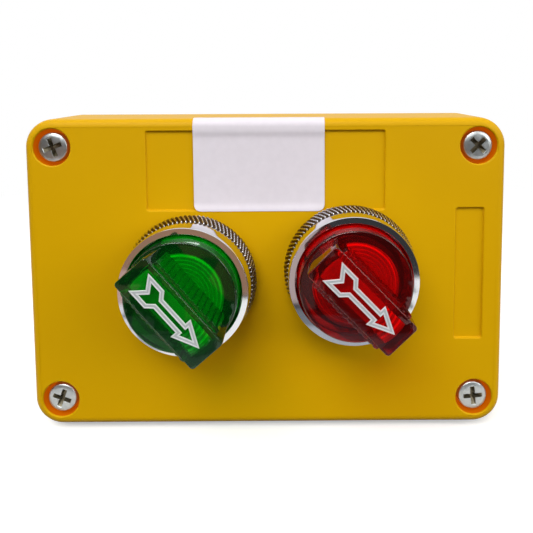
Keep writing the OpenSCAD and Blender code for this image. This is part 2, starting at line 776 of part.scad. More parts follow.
// Snap lugs that hook through the carrier plate
module snap_lugs() {
    for (side = [0, 180]) rotate([0, 0, side]) translate([-lug_w / 2, 0, 0]) {
        translate([0, block_l / 2 - lug_t, block_top - eps]) cube([lug_w, lug_t, carrier_t + 0.8 + eps]);
        translate([0, block_l / 2 - eps, block_top + carrier_t]) cube([lug_w, lug_hook + eps, 0.8]);
    }
}

// Rear pocket for a terminal screw, open to the back and to the block's end
module terminal_pocket(w, ceiling) {
    translate([-w / 2, pocket_y, block_end - eps]) cube([w, block_l, ceiling - block_end + eps]);
    translate([0, terminal_y, ceiling - eps]) cylinder(d = terminal_d + 4 * seat_gap, h = 2 + eps);
}

module block_body(w) {
    translate([-w / 2, -block_l / 2, block_end]) cube([w, block_l, block_d]);
}

module contact_block() {
    chamber_w = contact_w - 2 * block_wall;
    color(black) difference() {
        union() {
            block_body(contact_w);
            snap_lugs();
        }
        translate([-chamber_w / 2, -chamber_y, chamber_floor])
            cube([chamber_w, 2 * chamber_y, chamber_ceiling - chamber_floor]);
        translate([-leg_w / 2 - 2 * run_gap, -leg_b / 2 - 2 * run_gap, chamber_ceiling - eps])
            cube([leg_w + 4 * run_gap, leg_b + 4 * run_gap, chamber_end_t + 2 * eps]);
        for (side = [0, 180]) rotate([0, 0, side]) {
            terminal_pocket(chamber_w, strip_top);
            translate([-strip_w / 2, chamber_y - eps, strip_top - strip_t])
                cube([strip_w, pocket_y - chamber_y + 2 * eps, strip_t]);
        }
    }
}

// Two fixed brass strips, each with a rivet contact on the side that faces the bridge
module fixed_contacts(tip_side) {
    color(brass) for (side = [0, 180]) rotate([0, 0, side]) difference() {
        union() {
            translate([-strip_w / 2, strip_in, strip_top - strip_t])
                cube([strip_w, strip_out - strip_in, strip_t]);
            translate([0, tip_y, strip_top - strip_t / 2 + tip_side * (strip_t / 2 + tip_h / 2)])
                cylinder(r = tip_r, h = tip_h, center = true);
        }
        translate([0, terminal_y, strip_top - strip_t - eps])
            cylinder(d = terminal_d + 2 * seat_gap, h = strip_t + 2 * eps);
    }
}

// Push stem and carrier, slotted for the bridge at height z
module plunger(bridge_z) {
    color(white) difference() {
        union() {
            translate([-leg_w / 2, -leg_b / 2, chamber_ceiling - 1])
                cube([leg_w, leg_b, plunger_top - chamber_ceiling + 1]);
            translate([-carrier_block_w / 2, -carrier_block_l / 2, carrier_block_end])
                cube([carrier_block_w, carrier_block_l, chamber_ceiling - plunger_play - carrier_block_end]);
        }
        translate([-bridge_w / 2 - seat_gap, -carrier_block_l, bridge_z - seat_gap])
            cube([bridge_w + 2 * seat_gap, 2 * carrier_block_l, strip_t + 2 * seat_gap]);
    }
}

// Moving bridge with two rivet contacts
module bridge(bridge_z, tip_side) {
    color(brass) {
        translate([-bridge_w / 2, -bridge_l / 2, bridge_z]) cube([bridge_w, bridge_l, strip_t]);
        for (y = [-tip_y, tip_y])
            translate([0, y, bridge_z + strip_t / 2 + tip_side * (strip_t / 2 + tip_h / 2)])
                cylinder(r = tip_r, h = tip_h, center = true);
    }
}

module contact_spring() {
    wire_r = 0.25;
    color(steel) translate([0, 0, chamber_floor])
        coil(1.5, wire_r, carrier_block_end - chamber_floor, 4, 12, 5);
}

module lamp() {
    cap_low = lamp_low + 1;
    bulb_r = lamp_bulb_d / 2;
    color(lamp_glass) {
        translate([0, 0, lamp_low]) cylinder(r1 = 1.2, r2 = 2.2, h = 1.1);
        translate([0, 0, cap_low]) cylinder(d = lamp_cap_d, h = lamp_cap_l - 1);
        translate([0, 0, cap_low + lamp_cap_l - 1 - eps])
            cylinder(r = bulb_r, h = lamp_high - bulb_r - cap_low - lamp_cap_l + 1 + eps);
        translate([0, 0, lamp_high - bulb_r]) sphere(bulb_r);
    }
}

module lamp_block() {
    pocket_w = strip_w + 1.2;
    color(black) difference() {
        union() {
            block_body(lamp_w);
            snap_lugs();
        }
        translate([0, 0, lamp_low - touch_gap]) cylinder(r = socket_r, h = block_d);
        terminal_pocket(pocket_w, strip_top);
        rotate([0, 0, 180]) terminal_pocket(pocket_w, lamp_low - touch_gap);
        translate([-strip_w / 2, 0, strip_top - strip_t]) cube([strip_w, pocket_y + eps, strip_t]);
        translate([-strip_w / 2, -pocket_y - eps, lamp_low - touch_gap - strip_t])
            cube([strip_w, pocket_y + 2, strip_t + eps]);
    }
}

// Brass sleeve round the lamp's cap with its strip, and the strip under the lamp's tip
module lamp_contacts() {
    sleeve_in = lamp_cap_d / 2 + run_gap;
    sleeve_out = socket_r - seat_gap;
    foot = lamp_low - touch_gap;
    color(brass) {
        difference() {
            union() {
                translate([0, 0, strip_top - strip_t]) cylinder(r = sleeve_out, h = lamp_cap_l - 2);
                translate([-strip_w / 2, 0, strip_top - strip_t]) cube([strip_w, strip_out, strip_t]);
            }
            translate([0, 0, strip_top - strip_t - eps]) cylinder(r = sleeve_in, h = lamp_cap_l);
            terminal_hole(strip_top);
        }
        difference() {
            translate([-strip_w / 2, -strip_out, foot - strip_t]) cube([strip_w, strip_out + 1.9, strip_t]);
            rotate([0, 0, 180]) terminal_hole(foot);
        }
    }
}

module terminal_hole(top) {
    translate([0, terminal_y, top - strip_t - eps])
        cylinder(d = terminal_d + 2 * seat_gap, h = strip_t + 2 * eps);
}

// Slotted terminal screw with its square wire clamp, under a strip whose top is at z
module terminal_screw(top) {
    clamp_t = 0.7;
    clamp_w = strip_w + 0.4;
    head_h = 2;
    slot_w = 0.8;
    slot_d = 1;
    low = top - strip_t;
    translate([0, terminal_y, 0]) difference() {
        union() {
            translate([-clamp_w / 2, -clamp_w / 2, low - clamp_t]) cube([clamp_w, clamp_w, clamp_t]);
            translate([0, 0, low - clamp_t - head_h]) cylinder(d = terminal_head_d, h = head_h + eps);
            translate([0, 0, low - eps]) cylinder(d = terminal_d, h = strip_t + 1.5 + eps);
        }
        translate([-terminal_head_d, -slot_w / 2, low - clamp_t - head_h - eps])
            cube([2 * terminal_head_d, slot_w, slot_d + eps]);
    }
}

module terminal_screws() {
    color(steel) {
        for (x = [-contact_x, contact_x], side = [0, 180]) translate([x, 0, 0]) rotate([0, 0, side])
            terminal_screw(strip_top);
        terminal_screw(strip_top);
        rotate([0, 0, 180]) terminal_screw(lamp_low - touch_gap);
    }
}

// One switch's node, by its name without the colour
module switch_node(name, tint) {
    if (name == "knob") knob(tint);
    if (name == "arrow") arrow();
    if (name == "diffuser") diffuser();
    if (name == "rotor") rotor();
    if (name == "bezel_ring") bezel_ring();
    if (name == "panel_washer") panel_washer();
    if (name == "operator_body") operator_body();
    if (name == "slider") slider();
    if (name == "return_spring") return_spring();
    if (name == "carrier_plate") carrier_plate();
    if (name == "lamp") lamp();
    if (name == "lamp_block") lamp_block();
    if (name == "lamp_contacts") lamp_contacts();
    if (name == "terminal_screws") terminal_screws();
    translate([-contact_x, 0, 0]) {
        if (name == "no_block") contact_block();
        if (name == "no_plunger") plunger(no_bridge_z);
        if (name == "no_bridge") bridge(no_bridge_z, -1);
        if (name == "no_spring") contact_spring();
        if (name == "no_terminals") fixed_contacts(1);
    }
    translate([contact_x, 0, 0]) {
        if (name == "nc_block") contact_block();
        if (name == "nc_plunger") plunger(nc_bridge_z);
        if (name == "nc_bridge") bridge(nc_bridge_z, 1);
        if (name == "nc_spring") contact_spring();
        if (name == "nc_terminals") fixed_contacts(-1);
    }
}

SWITCH_NODES = [
    "knob", "arrow", "diffuser", "rotor", "bezel_ring", "panel_washer", "operator_body", "slider",
    "return_spring", "carrier_plate", "lamp", "lamp_block", "lamp_contacts", "terminal_screws",
    "no_block", "no_plunger", "no_bridge", "no_spring", "no_terminals",
    "nc_block", "nc_plunger", "nc_bridge", "nc_spring", "nc_terminals"
];

base_housing();
lid();
lid_seal();
lid_screws();
label();
cable_grommet();
for (name = SWITCH_NODES) {
    at_switch(green) switch_node(name, green_clear);
    at_switch(red) switch_node(name, red_clear);
}
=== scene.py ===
import json
import math

import bmesh
import bpy
from mathutils import Matrix, Vector


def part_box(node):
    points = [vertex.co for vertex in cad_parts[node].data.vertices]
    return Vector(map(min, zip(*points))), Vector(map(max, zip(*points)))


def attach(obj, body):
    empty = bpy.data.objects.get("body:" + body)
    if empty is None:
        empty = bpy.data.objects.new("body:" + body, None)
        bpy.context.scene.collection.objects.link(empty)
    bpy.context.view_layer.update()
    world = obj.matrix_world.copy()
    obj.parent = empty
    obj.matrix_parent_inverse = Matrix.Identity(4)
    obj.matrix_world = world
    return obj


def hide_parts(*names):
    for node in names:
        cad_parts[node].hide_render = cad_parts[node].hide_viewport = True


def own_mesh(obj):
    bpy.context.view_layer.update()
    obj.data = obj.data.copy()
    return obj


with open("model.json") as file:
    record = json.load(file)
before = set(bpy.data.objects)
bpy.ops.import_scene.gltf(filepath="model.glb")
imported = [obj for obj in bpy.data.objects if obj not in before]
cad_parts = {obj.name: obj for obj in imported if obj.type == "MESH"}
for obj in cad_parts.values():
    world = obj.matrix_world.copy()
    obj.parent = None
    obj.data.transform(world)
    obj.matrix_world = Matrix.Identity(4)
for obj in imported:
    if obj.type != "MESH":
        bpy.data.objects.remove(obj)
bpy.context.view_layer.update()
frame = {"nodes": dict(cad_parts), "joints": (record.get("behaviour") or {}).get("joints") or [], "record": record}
print("loaded the frame:", len(frame["nodes"]), "nodes")

# sizes of the box in millimetres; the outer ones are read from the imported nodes
lidLow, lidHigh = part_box("lid")
box = {
    "width": (lidHigh.x - lidLow.x) * 1000,
    "height": (lidHigh.z - lidLow.z) * 1000,
    "faceY": lidLow.y * 1000,
    "lidDepth": 17.0,
    "cornerRadius": 8.0,
    "draft": 1.5,
    "wall": 3.0,
}


def onFace(x, y, z):
    # x right, y up from the middle of the lid's face, z out of it, in millimetres
    return Vector((x, box["faceY"] - z, box["height"] / 2 + y)) / 1000


def turnedPlace(x0, y0, degrees):
    # onFace for a piece whose own axis stands at x0, y0 and which is turned round it
    a = math.radians(degrees)
    cosA, sinA = math.cos(a), math.sin(a)
    return lambda x, y, z: onFace(x0 + x * cosA - y * sinA, y0 + x * sinA + y * cosA, z)


def switchPlace(colour):
    joint = next(j for j in frame["joints"] if j["name"] == colour + "_turn")
    x, _, z = joint["pos_m"]
    return x * 1000, z * 1000 - box["height"] / 2


# where the switches sit, and how far each is turned in its hole, in degrees
switches = {
    "green": {"place": switchPlace("green"), "turn": -4.0},
    "red": {"place": switchPlace("red"), "turn": -1.0},
}
restAngle = -45.0  # both handles point down to the right at rest


def toLinear(hexCode):
    parts = [int(hexCode[i : i + 2], 16) / 255 for i in (1, 3, 5)]
    return tuple(p / 12.92 if p <= 0.04045 else ((p + 0.055) / 1.055) ** 2.4 for p in parts) + (1.0,)


def addNode(tree, shineSlot, settings=None, links=None):
    node = tree.nodes.new(shineSlot)
    for key, value in (settings or {}).items():
        if isinstance(key, str) and hasattr(node, key):
            setattr(node, key, value)
        else:
            node.inputs[key].default_value = value
    for key, source in (links or {}).items():
        tree.links.new(source, node.inputs[key])
    return node


def perMm(size):
    # texture scale that repeats about every size millimetres
    return 1000.0 / size


def startMaterial(name, settings):
    material = bpy.data.materials.new(name)
    material.use_nodes = True
    tree = material.node_tree
    tree.nodes.clear()
    shader = addNode(tree, "ShaderNodeBsdfPrincipled", settings)
    addNode(tree, "ShaderNodeOutputMaterial", None, {"Surface": shader.outputs["BSDF"]})
    coords = addNode(tree, "ShaderNodeTexCoord")
    return material, tree, shader, coords.outputs["Object"]


def addVariation(tree, shader, coords, size, dark, light):
    # slow change of colour over a few millimetres, as mouldings and castings show
    noise = addNode(tree, "ShaderNodeTexNoise", {"Scale": perMm(size), "Detail": 3.0}, {"Vector": coords})
    colours = {"data_type": "RGBA", 6: toLinear(dark), 7: toLinear(light)}
    blend = addNode(tree, "ShaderNodeMix", colours, {0: noise.outputs["Fac"]})
    tree.links.new(blend.outputs[2], shader.inputs["Base Color"])


def addGrain(tree, shader, coords, size, height, rough=None):
    # bump of the given grain size and height in millimetres, and roughness that follows it
    noise = addNode(tree, "ShaderNodeTexNoise", {"Scale": perMm(size), "Detail": 4.0}, {"Vector": coords})
    settings = {"Strength": 1.0, "Distance": height / 1000}
    bump = addNode(tree, "ShaderNodeBump", settings, {"Height": noise.outputs["Fac"]})
    tree.links.new(bump.outputs["Normal"], shader.inputs["Normal"])
    if rough:
        settings = {"To Min": rough[0], "To Max": rough[1]}
        spread = addNode(tree, "ShaderNodeMapRange", settings, {"Value": noise.outputs["Fac"]})
        tree.links.new(spread.outputs["Result"], shader.inputs["Roughness"])


def addObject(name, data):
    thing = bpy.data.objects.new(name, data)
    bpy.context.scene.collection.objects.link(thing)
    return thing


def makeMaterial(name, settings, variation, grain):
    material, tree, shader, coords = startMaterial(name, settings)
    addVariation(tree, shader, coords, *variation)
    addGrain(tree, shader, coords, *grain)
    return material


# moulded ABS, satin: soft wide highlights; its 0.1 mm grain is drawn at 0.5 mm, or it wouldn't show
yellowAbs = makeMaterial(
    "yellowAbs",
    {"IOR": 1.5, "Specular IOR Level": 0.1},
    (14, "#d2a000", "#d6a400"),
    (0.5, 0.012, (0.36, 0.5)),
)

# the same ABS inside the screw bores, darker and with a painted orange glow that stands in for light coming
# through the plastic and evens out the bores' shade: an even deep orange
glow = {"Emission Color": toLinear("#d86000"), "Emission Strength": 0.45}
boreAbs = makeMaterial(
    "boreAbs",
    {"IOR": 1.5, "Specular IOR Level": 0.1, **glow},
    (14, "#904c00", "#965200"),
    (0.5, 0.012, (0.36, 0.5)),
)

# moulded ABS, black: the same grain, with dull grey sheen at its edges
blackAbs = makeMaterial(
    "blackAbs",
    {"IOR": 1.5, "Specular IOR Level": 0.4},
    (12, "#19191b", "#202023"),
    (0.5, 0.02, (0.4, 0.58)),
)

# glass-filled nylon, moulded: drier and greyer than the ABS
blackNylon = makeMaterial("blackNylon", {"IOR": 1.53}, (5, "#1b1b1c", "#262628"), (0.25, 0.02, (0.5, 0.68)))

# natural nylon, moulded: milky white with a waxy shine
whiteNylon = makeMaterial(
    "whiteNylon",
    {"IOR": 1.53, "Subsurface Weight": 0.2, "Subsurface Scale": 0.001},
    (5, "#ddd9cd", "#e8e5da"),
    (0.4, 0.008, (0.35, 0.45)),
)

# nitrile rubber, moulded: matt and dark with a dusty bloom
sealRubber = makeMaterial(
    "sealRubber",
    {"IOR": 1.52, "Specular IOR Level": 0.3},
    (3, "#222326", "#2d2e31"),
    (0.3, 0.02, (0.65, 0.8)),
)

metal = {"Metallic": 1.0}

# chromium plate on brass, polished: a clean mirror with faint polishing swirls
chromePlate = makeMaterial("chromePlate", metal, (6, "#dcdee0", "#e9eaec"), (0.8, 0.0008, (0.05, 0.09)))

# the same plate in the knurl's grooves, with painted shade: brown and dull
grooveChrome = makeMaterial("grooveChrome", metal, (1.0, "#3e2c1a", "#5c452b"), (0.3, 0.004, (0.3, 0.45)))

# zinc plate on steel, bright passivated: blue-grey with cloudy blotches
zincPlate = makeMaterial("zincPlate", metal, (1.2, "#a8aeae", "#d2d6d6"), (0.35, 0.008, (0.28, 0.45)))

# the same plate where a driver has worn it down in the cross: brown and dull
wornZinc = makeMaterial("wornZinc", metal, (0.9, "#6e6752", "#9c9480"), (0.4, 0.03, (0.4, 0.6)))

# brass, stamped: warm yellow metal with fine rolling lines
stampedBrass = makeMaterial("stampedBrass", metal, (2, "#b98f3e", "#cfa653"), (0.3, 0.004, (0.25, 0.4)))

# spring steel wire, drawn: grey metal with a dull oil film
springWire = makeMaterial("springWire", metal, (1, "#8c8f93", "#a6a9ac"), (0.3, 0.003, (0.3, 0.42)))

# coated label paper, cut: off-white and even, with short fibres that just show
labelPaper = makeMaterial(
    "labelPaper",
    {"IOR": 1.45, "Specular IOR Level": 0.35},
    (1.5, "#dcd5dc", "#e4dde4"),
    (0.35, 0.006, (0.42, 0.6)),
)

# white enamel filled into the groove: bright raised edges
whiteEnamel = makeMaterial(
    "whiteEnamel", {"IOR": 1.5}, (1.5, "#cfd0d2", "#dadbdd"), (0.3, 0.004, (0.4, 0.5))
)

# the same enamel where it has sunk in the groove: greyer and duller
greyEnamel = makeMaterial(
    "greyEnamel", {"IOR": 1.5}, (1.0, "#a9adaf", "#b9bcbe"), (0.3, 0.008, (0.5, 0.62))
)

# clear styrene lens, moulded: greyish and see-through where its surface is flat
frostedLens = makeMaterial(
    "frostedLens",
    {"IOR": 1.59, "Transmission Weight": 0.25, "Subsurface Weight": 0.2, "Subsurface Scale": 0.002},
    (4, "#aeb0aa", "#bcbdb7"),
    (0.5, 0.004, (0.18, 0.3)),
)

# the same styrene on its prism faces, polished by the mould and painted whiter as a highlight, so that they throw
# the light back brightly
prismLens = makeMaterial("prismLens", {"IOR": 1.59}, (4, "#f4f4f0", "#ffffff"), (0.5, 0.003, (0.12, 0.2)))

# soda glass bulb, blown: clear and thin
lampGlass = makeMaterial(
    "lampGlass",
    {"IOR": 1.5, "Transmission Weight": 0.8},
    (4, "#f1efe4", "#f7f5ec"),
    (1.5, 0.004, (0.03, 0.08)),
)


def clearAcrylic(name, dark, light, through, body):
    # acrylic, dyed and polished: clear where it is thin, deep in colour where light goes far through it,
    # and with a trace of cloud that keeps its dark parts coloured
    material, tree, shader, coords = startMaterial(name, {"IOR": 1.49, "Transmission Weight": 0.97})
    addVariation(tree, shader, coords, 5, dark, light)
    addGrain(tree, shader, coords, 1.2, 0.0015, (0.02, 0.05))
    output = tree.get_output_node("ALL")
    # lamps shine through it on to the lens below
    path = addNode(tree, "ShaderNodeLightPath")
    tint = addNode(tree, "ShaderNodeBsdfTransparent", {"Color": toLinear(through)})
    sources = {0: path.outputs["Is Shadow Ray"], 1: shader.outputs["BSDF"], 2: tint.outputs["BSDF"]}
    pick = addNode(tree, "ShaderNodeMixShader", None, sources)
    tree.links.new(pick.outputs["Shader"], output.inputs["Surface"])
    depth = addNode(tree, "ShaderNodeVolumeAbsorption", {"Color": toLinear(body[0]), "Density": body[1]})
    tree.links.new(depth.outputs["Volume"], output.inputs["Volume"])
    return material


greenAcrylic = clearAcrylic("greenAcrylic", "#18d24a", "#1edc50", "#50f070", ("#20e480", 500.0))
redAcrylic = clearAcrylic("redAcrylic", "#f01812", "#f61e16", "#ff5040", ("#f02818", 500.0))
print("made the materials")

slotMaterials = {
    "yellow_abs": yellowAbs,
    "black_abs": blackAbs,
    "seal_rubber": sealRubber,
    "zinc_steel": zincPlate,
    "label_paper": labelPaper,
    "green_acrylic": greenAcrylic,
    "red_acrylic": redAcrylic,
    "white_ink": whiteEnamel,
    "frosted_lens": frostedLens,
    "chrome": chromePlate,
    "black_nylon": blackNylon,
    "white_nylon": whiteNylon,
    "spring_steel": springWire,
    "brass": stampedBrass,
    "lamp_glass": lampGlass,
}
for part in frame["record"]["subparts"]:
    node = frame["nodes"][part["node"]]
    node.data.materials.clear()
    node.data.materials.append(slotMaterials[part["material_slot"]])

quadrants = ((1, 1), (-1, 1), (-1, -1), (1, -1))  # counter-clockwise from the upper right
cornerSigns = ((-1, -1), (-1, 1), (1, -1), (1, 1))


def roundedLoop(width, height, radius, steps, centre=(0.0, 0.0)):
    points = []
    for k, (sx, sy) in enumerate(quadrants):
        for i in range(steps + 1):
            a = math.radians(90 * k + 90 * i / steps)
            x = centre[0] + sx * (width / 2 - radius) + radius * math.cos(a)
            y = centre[1] + sy * (height / 2 - radius) + radius * math.sin(a)
            points.append((x, y))
    return points


def circleLoop(radius, steps, centre=(0.0, 0.0)):
    turn = 2 * math.pi / steps
    cx, cy = centre
    return [(cx + radius * math.cos(turn * i), cy + radius * math.sin(turn * i)) for i in range(steps)]


def quarterArc(steps, first=1):
    # how far in and how far up a rounded edge of radius one has come at each step
    turns = [math.radians(90 * i / steps) for i in range(first, steps + 1)]
    return [(1 - math.cos(a), math.sin(a)) for a in turns]


def addLoop(bm, points, z, place=onFace):
    return [bm.verts.new(place(x, y, z)) for x, y in points]


def addRings(bm, profile, steps, centre=(0.0, 0.0), place=onFace):
    # a circle for each radius and height of the profile
    return [addLoop(bm, circleLoop(radius, steps, centre), z, place) for radius, z in profile]


def bridge(bm, loops, slot=0, closed=True):
    # joins each loop to the next with four-sided faces
    for low, high in zip(loops, loops[1:]):
        count = len(low)
        for i in range(count if closed else count - 1):
            j = (i + 1) % count
            corners = [low[i], low[j], high[j], high[i]]
            corners = [v for n, v in enumerate(corners) if v not in corners[:n]]
            if len(corners) > 2:
                bm.faces.new(corners).material_index = slot


def fill(bm, loops, slot=0):
    # closes a flat face that the first loop bounds and the others cut
    edges = []
    for loop in loops:
        for i, vert in enumerate(loop):
            pair = (vert, loop[(i + 1) % len(loop)])
            edges.append(bm.edges.get(pair) or bm.edges.new(pair))
    made = bmesh.ops.triangle_fill(bm, use_beauty=True, use_dissolve=False, edges=edges)
    for face in made["geom"]:
        if isinstance(face, bmesh.types.BMFace):
            face.material_index = slot


def cap(bm, loop, middle, slot=0):
    # closes a round end with a fan of faces
    for i, vert in enumerate(loop):
        bm.faces.new((vert, loop[(i + 1) % len(loop)], middle)).material_index = slot


def finishPiece(bm, name, materials, body, node, sharpAngle=32):
    # smooth shading with sharp edges above the angle; the piece rides its body and stands for its CAD node
    bmesh.ops.recalc_face_normals(bm, faces=bm.faces)
    limit = math.radians(sharpAngle)
    for face in bm.faces:
        face.smooth = True
    for edge in bm.edges:
        edge.smooth = not (edge.is_manifold and edge.calc_face_angle(0.0) > limit)
    mesh = bpy.data.meshes.new(name)
    bm.to_mesh(mesh)
    bm.free()
    piece = addObject(name, mesh)
    for material in materials:
        mesh.materials.append(material)
    weighted = piece.modifiers.new("weighted", "WEIGHTED_NORMAL")
    weighted.keep_sharp = True
    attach(piece, body)
    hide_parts(node)
    return piece


lid = {
    "edgeRadius": 2.0,
    "edgeSteps": 8,
    "cornerSteps": 14,
    "panel": 2.5,
    "partingChamfer": 0.25,
    "recessDepth": 0.6,
    "recessEdge": 0.28,
    "recessCorner": 0.55,
    "wideRecess": (54.6, 18.2, 0.0, 24.2),  # width, height, x and y of the middle
    "sideRecess": (6.4, 30.8, 47.0, 0.0),
    "screwInset": 8.0,
    "counterboreRadius": 4.25,
    "counterboreDepth": 2.8,
    "screwHoleRadius": 2.0,
    "bossRadius": 6.2,
    "switchPitch": 36.0,
    "switchRise": 0.5,
    "switchHoleRadius": 12.5,
    "bossSteps": 24,
    "boreSteps": 40,
    "holeSteps": 72,
}
screwX = box["width"] / 2 - lid["screwInset"]
screwY = box["height"] / 2 - lid["screwInset"]


def lidOutline(lean, inset=0.0):
    # the box's outline, moved in by the lean of its sides and by an inset
    w, h, r = box["width"] - 2 * lean - 2 * inset, box["height"] - 2 * lean - 2 * inset, box["cornerRadius"]
    return roundedLoop(w, h, max(r - lean - inset, 0.5), lid["cornerSteps"])


def bossOutline(radius):
    # inner outline of lid or base, with the screw columns left standing in the corners
    points = []
    reach = math.degrees(math.acos((box["width"] / 2 - box["wall"] - screwX) / radius))
    steps = lid["bossSteps"]
    for k, (sx, sy) in enumerate(quadrants):
        for i in range(steps + 1):
            a = math.radians(90 * k - reach - (270 - 2 * reach) * i / steps)
            points.append((sx * screwX + radius * math.cos(a), sy * screwY + radius * math.sin(a)))
    return points


def addSides(bm, start, end, lean, edge, steps):
    # from the parting line along the sides and round the edge; gives the rim and the last row back
    way = math.copysign(1, end - start)
    chamfer = lid["partingChamfer"]
    rows = [addLoop(bm, lidOutline(0, chamfer), start), addLoop(bm, lidOutline(0), start + way * chamfer)]
    rows.append(addLoop(bm, lidOutline(lean), end - way * edge))
    for across, up in quarterArc(steps):
        rows.append(addLoop(bm, lidOutline(lean, edge * across), end - way * edge * (1 - up)))
    bridge(bm, rows)
    return rows[0], rows[-1]


def makeLid():
    bm = bmesh.new()
    depth = box["lidDepth"]
    rim, front = addSides(bm, -depth, 0, box["draft"], lid["edgeRadius"], lid["edgeSteps"])
    # recesses: a rounded upper edge, a wall, and a small radius at the floor
    holes = []
    e, deep, corner = lid["recessEdge"], lid["recessDepth"], lid["recessCorner"]
    profile = [(-e, 0), (-0.62 * e, -0.1 * e), (-0.25 * e, -0.4 * e), (0, -e)]
    profile += [(0.02, -deep + 0.12), (0.14, -deep)]
    for width, height, x, y in (lid["wideRecess"], lid["sideRecess"]):
        loops = []
        for inset, z in profile:
            size = (width - 2 * inset, height - 2 * inset, corner - 0.5 * inset)
            loops.append(addLoop(bm, roundedLoop(*size, 4, (x, y)), z))
        bridge(bm, loops)
        fill(bm, [loops[-1]])
        holes.append(loops[0])
    # counterbores with rounded mouths, and the screw holes through their floors
    screwLoops = []
    seat, hole = -lid["counterboreDepth"], lid["screwHoleRadius"]
    for sx, sy in cornerSigns:
        r, c = lid["counterboreRadius"], (sx * screwX, sy * screwY)
        mouth = [(r + 0.35, 0), (r + 0.2, -0.04), (r + 0.07, -0.14), (r, -0.35)]
        bore = [(r, seat), (hole, seat), (hole, -depth)]
        loops = addRings(bm, mouth + bore, lid["boreSteps"], c)
        bridge(bm, loops[: len(mouth)])
        # the bores' walls and seats take the painted glow
        bridge(bm, loops[len(mouth) - 1 :], 1)
        holes.append(loops[0])
        screwLoops.append(loops[-1])
    # holes for the switches, then the front, the ceiling and the rim
    ceilingHoles = []
    for side in (-1, 1):
        c = (side * lid["switchPitch"] / 2, lid["switchRise"])
        r = lid["switchHoleRadius"]
        loops = addRings(bm, ((r, 0), (r, -lid["panel"])), lid["holeSteps"], c)
        bridge(bm, loops)
        holes.append(loops[0])
        ceilingHoles.append(loops[-1])
    fill(bm, [front] + holes)
    inner = [addLoop(bm, bossOutline(lid["bossRadius"]), z) for z in (-lid["panel"], -depth)]
    bridge(bm, inner)
    fill(bm, [inner[0]] + ceilingHoles)
    fill(bm, [rim, inner[1]] + screwLoops)
    finishPiece(bm, "lidShell", [yellowAbs, boreAbs], "box", "lid")


makeLid()
print("made the lid")


# the base, from the parting line back
base = {
    "depth": 40.0,
    "backEdge": 1.5,
    "edgeSteps": 6,
    "floor": 3.0,
    "sealWidth": 1.4,
    "sealDepth": 1.0,
    "postRadius": 5.3,
    "screwHoleRadius": 1.8,
    "screwHoleDepth": 8.8,
    "screwHoleSteps": 32,
    "mountPitch": (80.0, 50.0),
    "mountHoleRadius": 2.25,
    "mountPad": (5.0, 1.5),  # radius, height
    "entryFromBack": 19.0,
    "flangeRadius": 12.55,
    "flangeDepth": 1.2,
    "entryRadius": 10.25,
    "entryBoss": (13.7, 2.0),  # radius, height
}


def cutWall(bm, x, hole):
    # puts a round hole in the largest flat face that stands at x
    walls = [f for f in bm.faces if all(abs(v.co.x - x) < 1e-6 for v in f.verts)]
    wall = max(walls, key=lambda f: f.calc_area())
    corners = list(wall.verts)
    bm.faces.remove(wall)
    fill(bm, [corners, hole])


def makeBase():
    bm = bmesh.new()
    front, back = -box["lidDepth"], -box["lidDepth"] - base["depth"]
    rim, backFace = addSides(bm, front, back, 0, base["backEdge"], base["edgeSteps"])
    floorZ = back + base["floor"]
    inner = [addLoop(bm, bossOutline(base["postRadius"]), z) for z in (front, floorZ)]
    bridge(bm, inner)
    # holes for the screws to the wall, each in a low pad on the floor
    outside, inside = [], []
    hole, (padRadius, padHeight) = base["mountHoleRadius"], base["mountPad"]
    padTop = floorZ + padHeight
    profile = ((hole, back), (hole, padTop), (padRadius, padTop), (padRadius, floorZ))
    for sx, sy in cornerSigns:
        c = (sx * base["mountPitch"][0] / 2, sy * base["mountPitch"][1] / 2)
        loops = addRings(bm, profile, lid["boreSteps"], c)
        bridge(bm, loops)
        outside.append(loops[0])
        inside.append(loops[-1])
    fill(bm, [backFace] + outside)
    fill(bm, [inner[1]] + inside)
    # rim with the seal's groove, and the lid screws' holes in the posts
    posts = []
    end = front - base["screwHoleDepth"]
    profile = [(base["screwHoleRadius"], z) for z in (front, end)]
    for sx, sy in cornerSigns:
        c = (sx * screwX, sy * screwY)
        loops = addRings(bm, profile, base["screwHoleSteps"], c)
        bridge(bm, loops)
        cap(bm, loops[1], bm.verts.new(onFace(*c, end)))
        posts.append(loops[0])
    insets = [(box["wall"] + share * base["sealWidth"]) / 2 for share in (-1, 1)]
    groove = [addLoop(bm, lidOutline(0, insets[0]), z) for z in (front, front - base["sealDepth"])]
    groove += [addLoop(bm, lidOutline(0, insets[1]), z) for z in (front - base["sealDepth"], front)]
    bridge(bm, groove)
    fill(bm, [rim, groove[0]])
    fill(bm, [groove[-1], inner[0]] + posts)
    # cable entry in the left wall, with a seat for the grommet's flange and a boss inside
    wallX, entryZ = -box["width"] / 2, back + base["entryFromBack"]
    seat, r, flange = wallX + base["flangeDepth"], base["entryRadius"], base["flangeRadius"]
    wallEnd, (bossRadius, bossHeight) = wallX + box["wall"], base["entryBoss"]
    profile = [(flange, wallX), (flange, seat), (r, seat), (r, wallEnd + bossHeight)]
    profile += [(bossRadius, wallEnd + bossHeight), (bossRadius, wallEnd)]
    loops = []
    for radius, x in profile:
        points = circleLoop(radius, lid["holeSteps"])
        loops.append([bm.verts.new(onFace(x, u, entryZ + v)) for u, v in points])
    cutWall(bm, wallX / 1000, loops[0])
    cutWall(bm, wallEnd / 1000, loops[-1])
    bridge(bm, loops)
    finishPiece(bm, "baseShell", [blackAbs], "box", "base_housing")


makeBase()
print("made the base")


def onSwitch(colour, turned=False):
    # the pieces that turn are drawn with the pointer along +x
    degrees = switches[colour]["turn"] + (restAngle if turned else 0.0)
    return turnedPlace(*switches[colour]["place"], degrees)


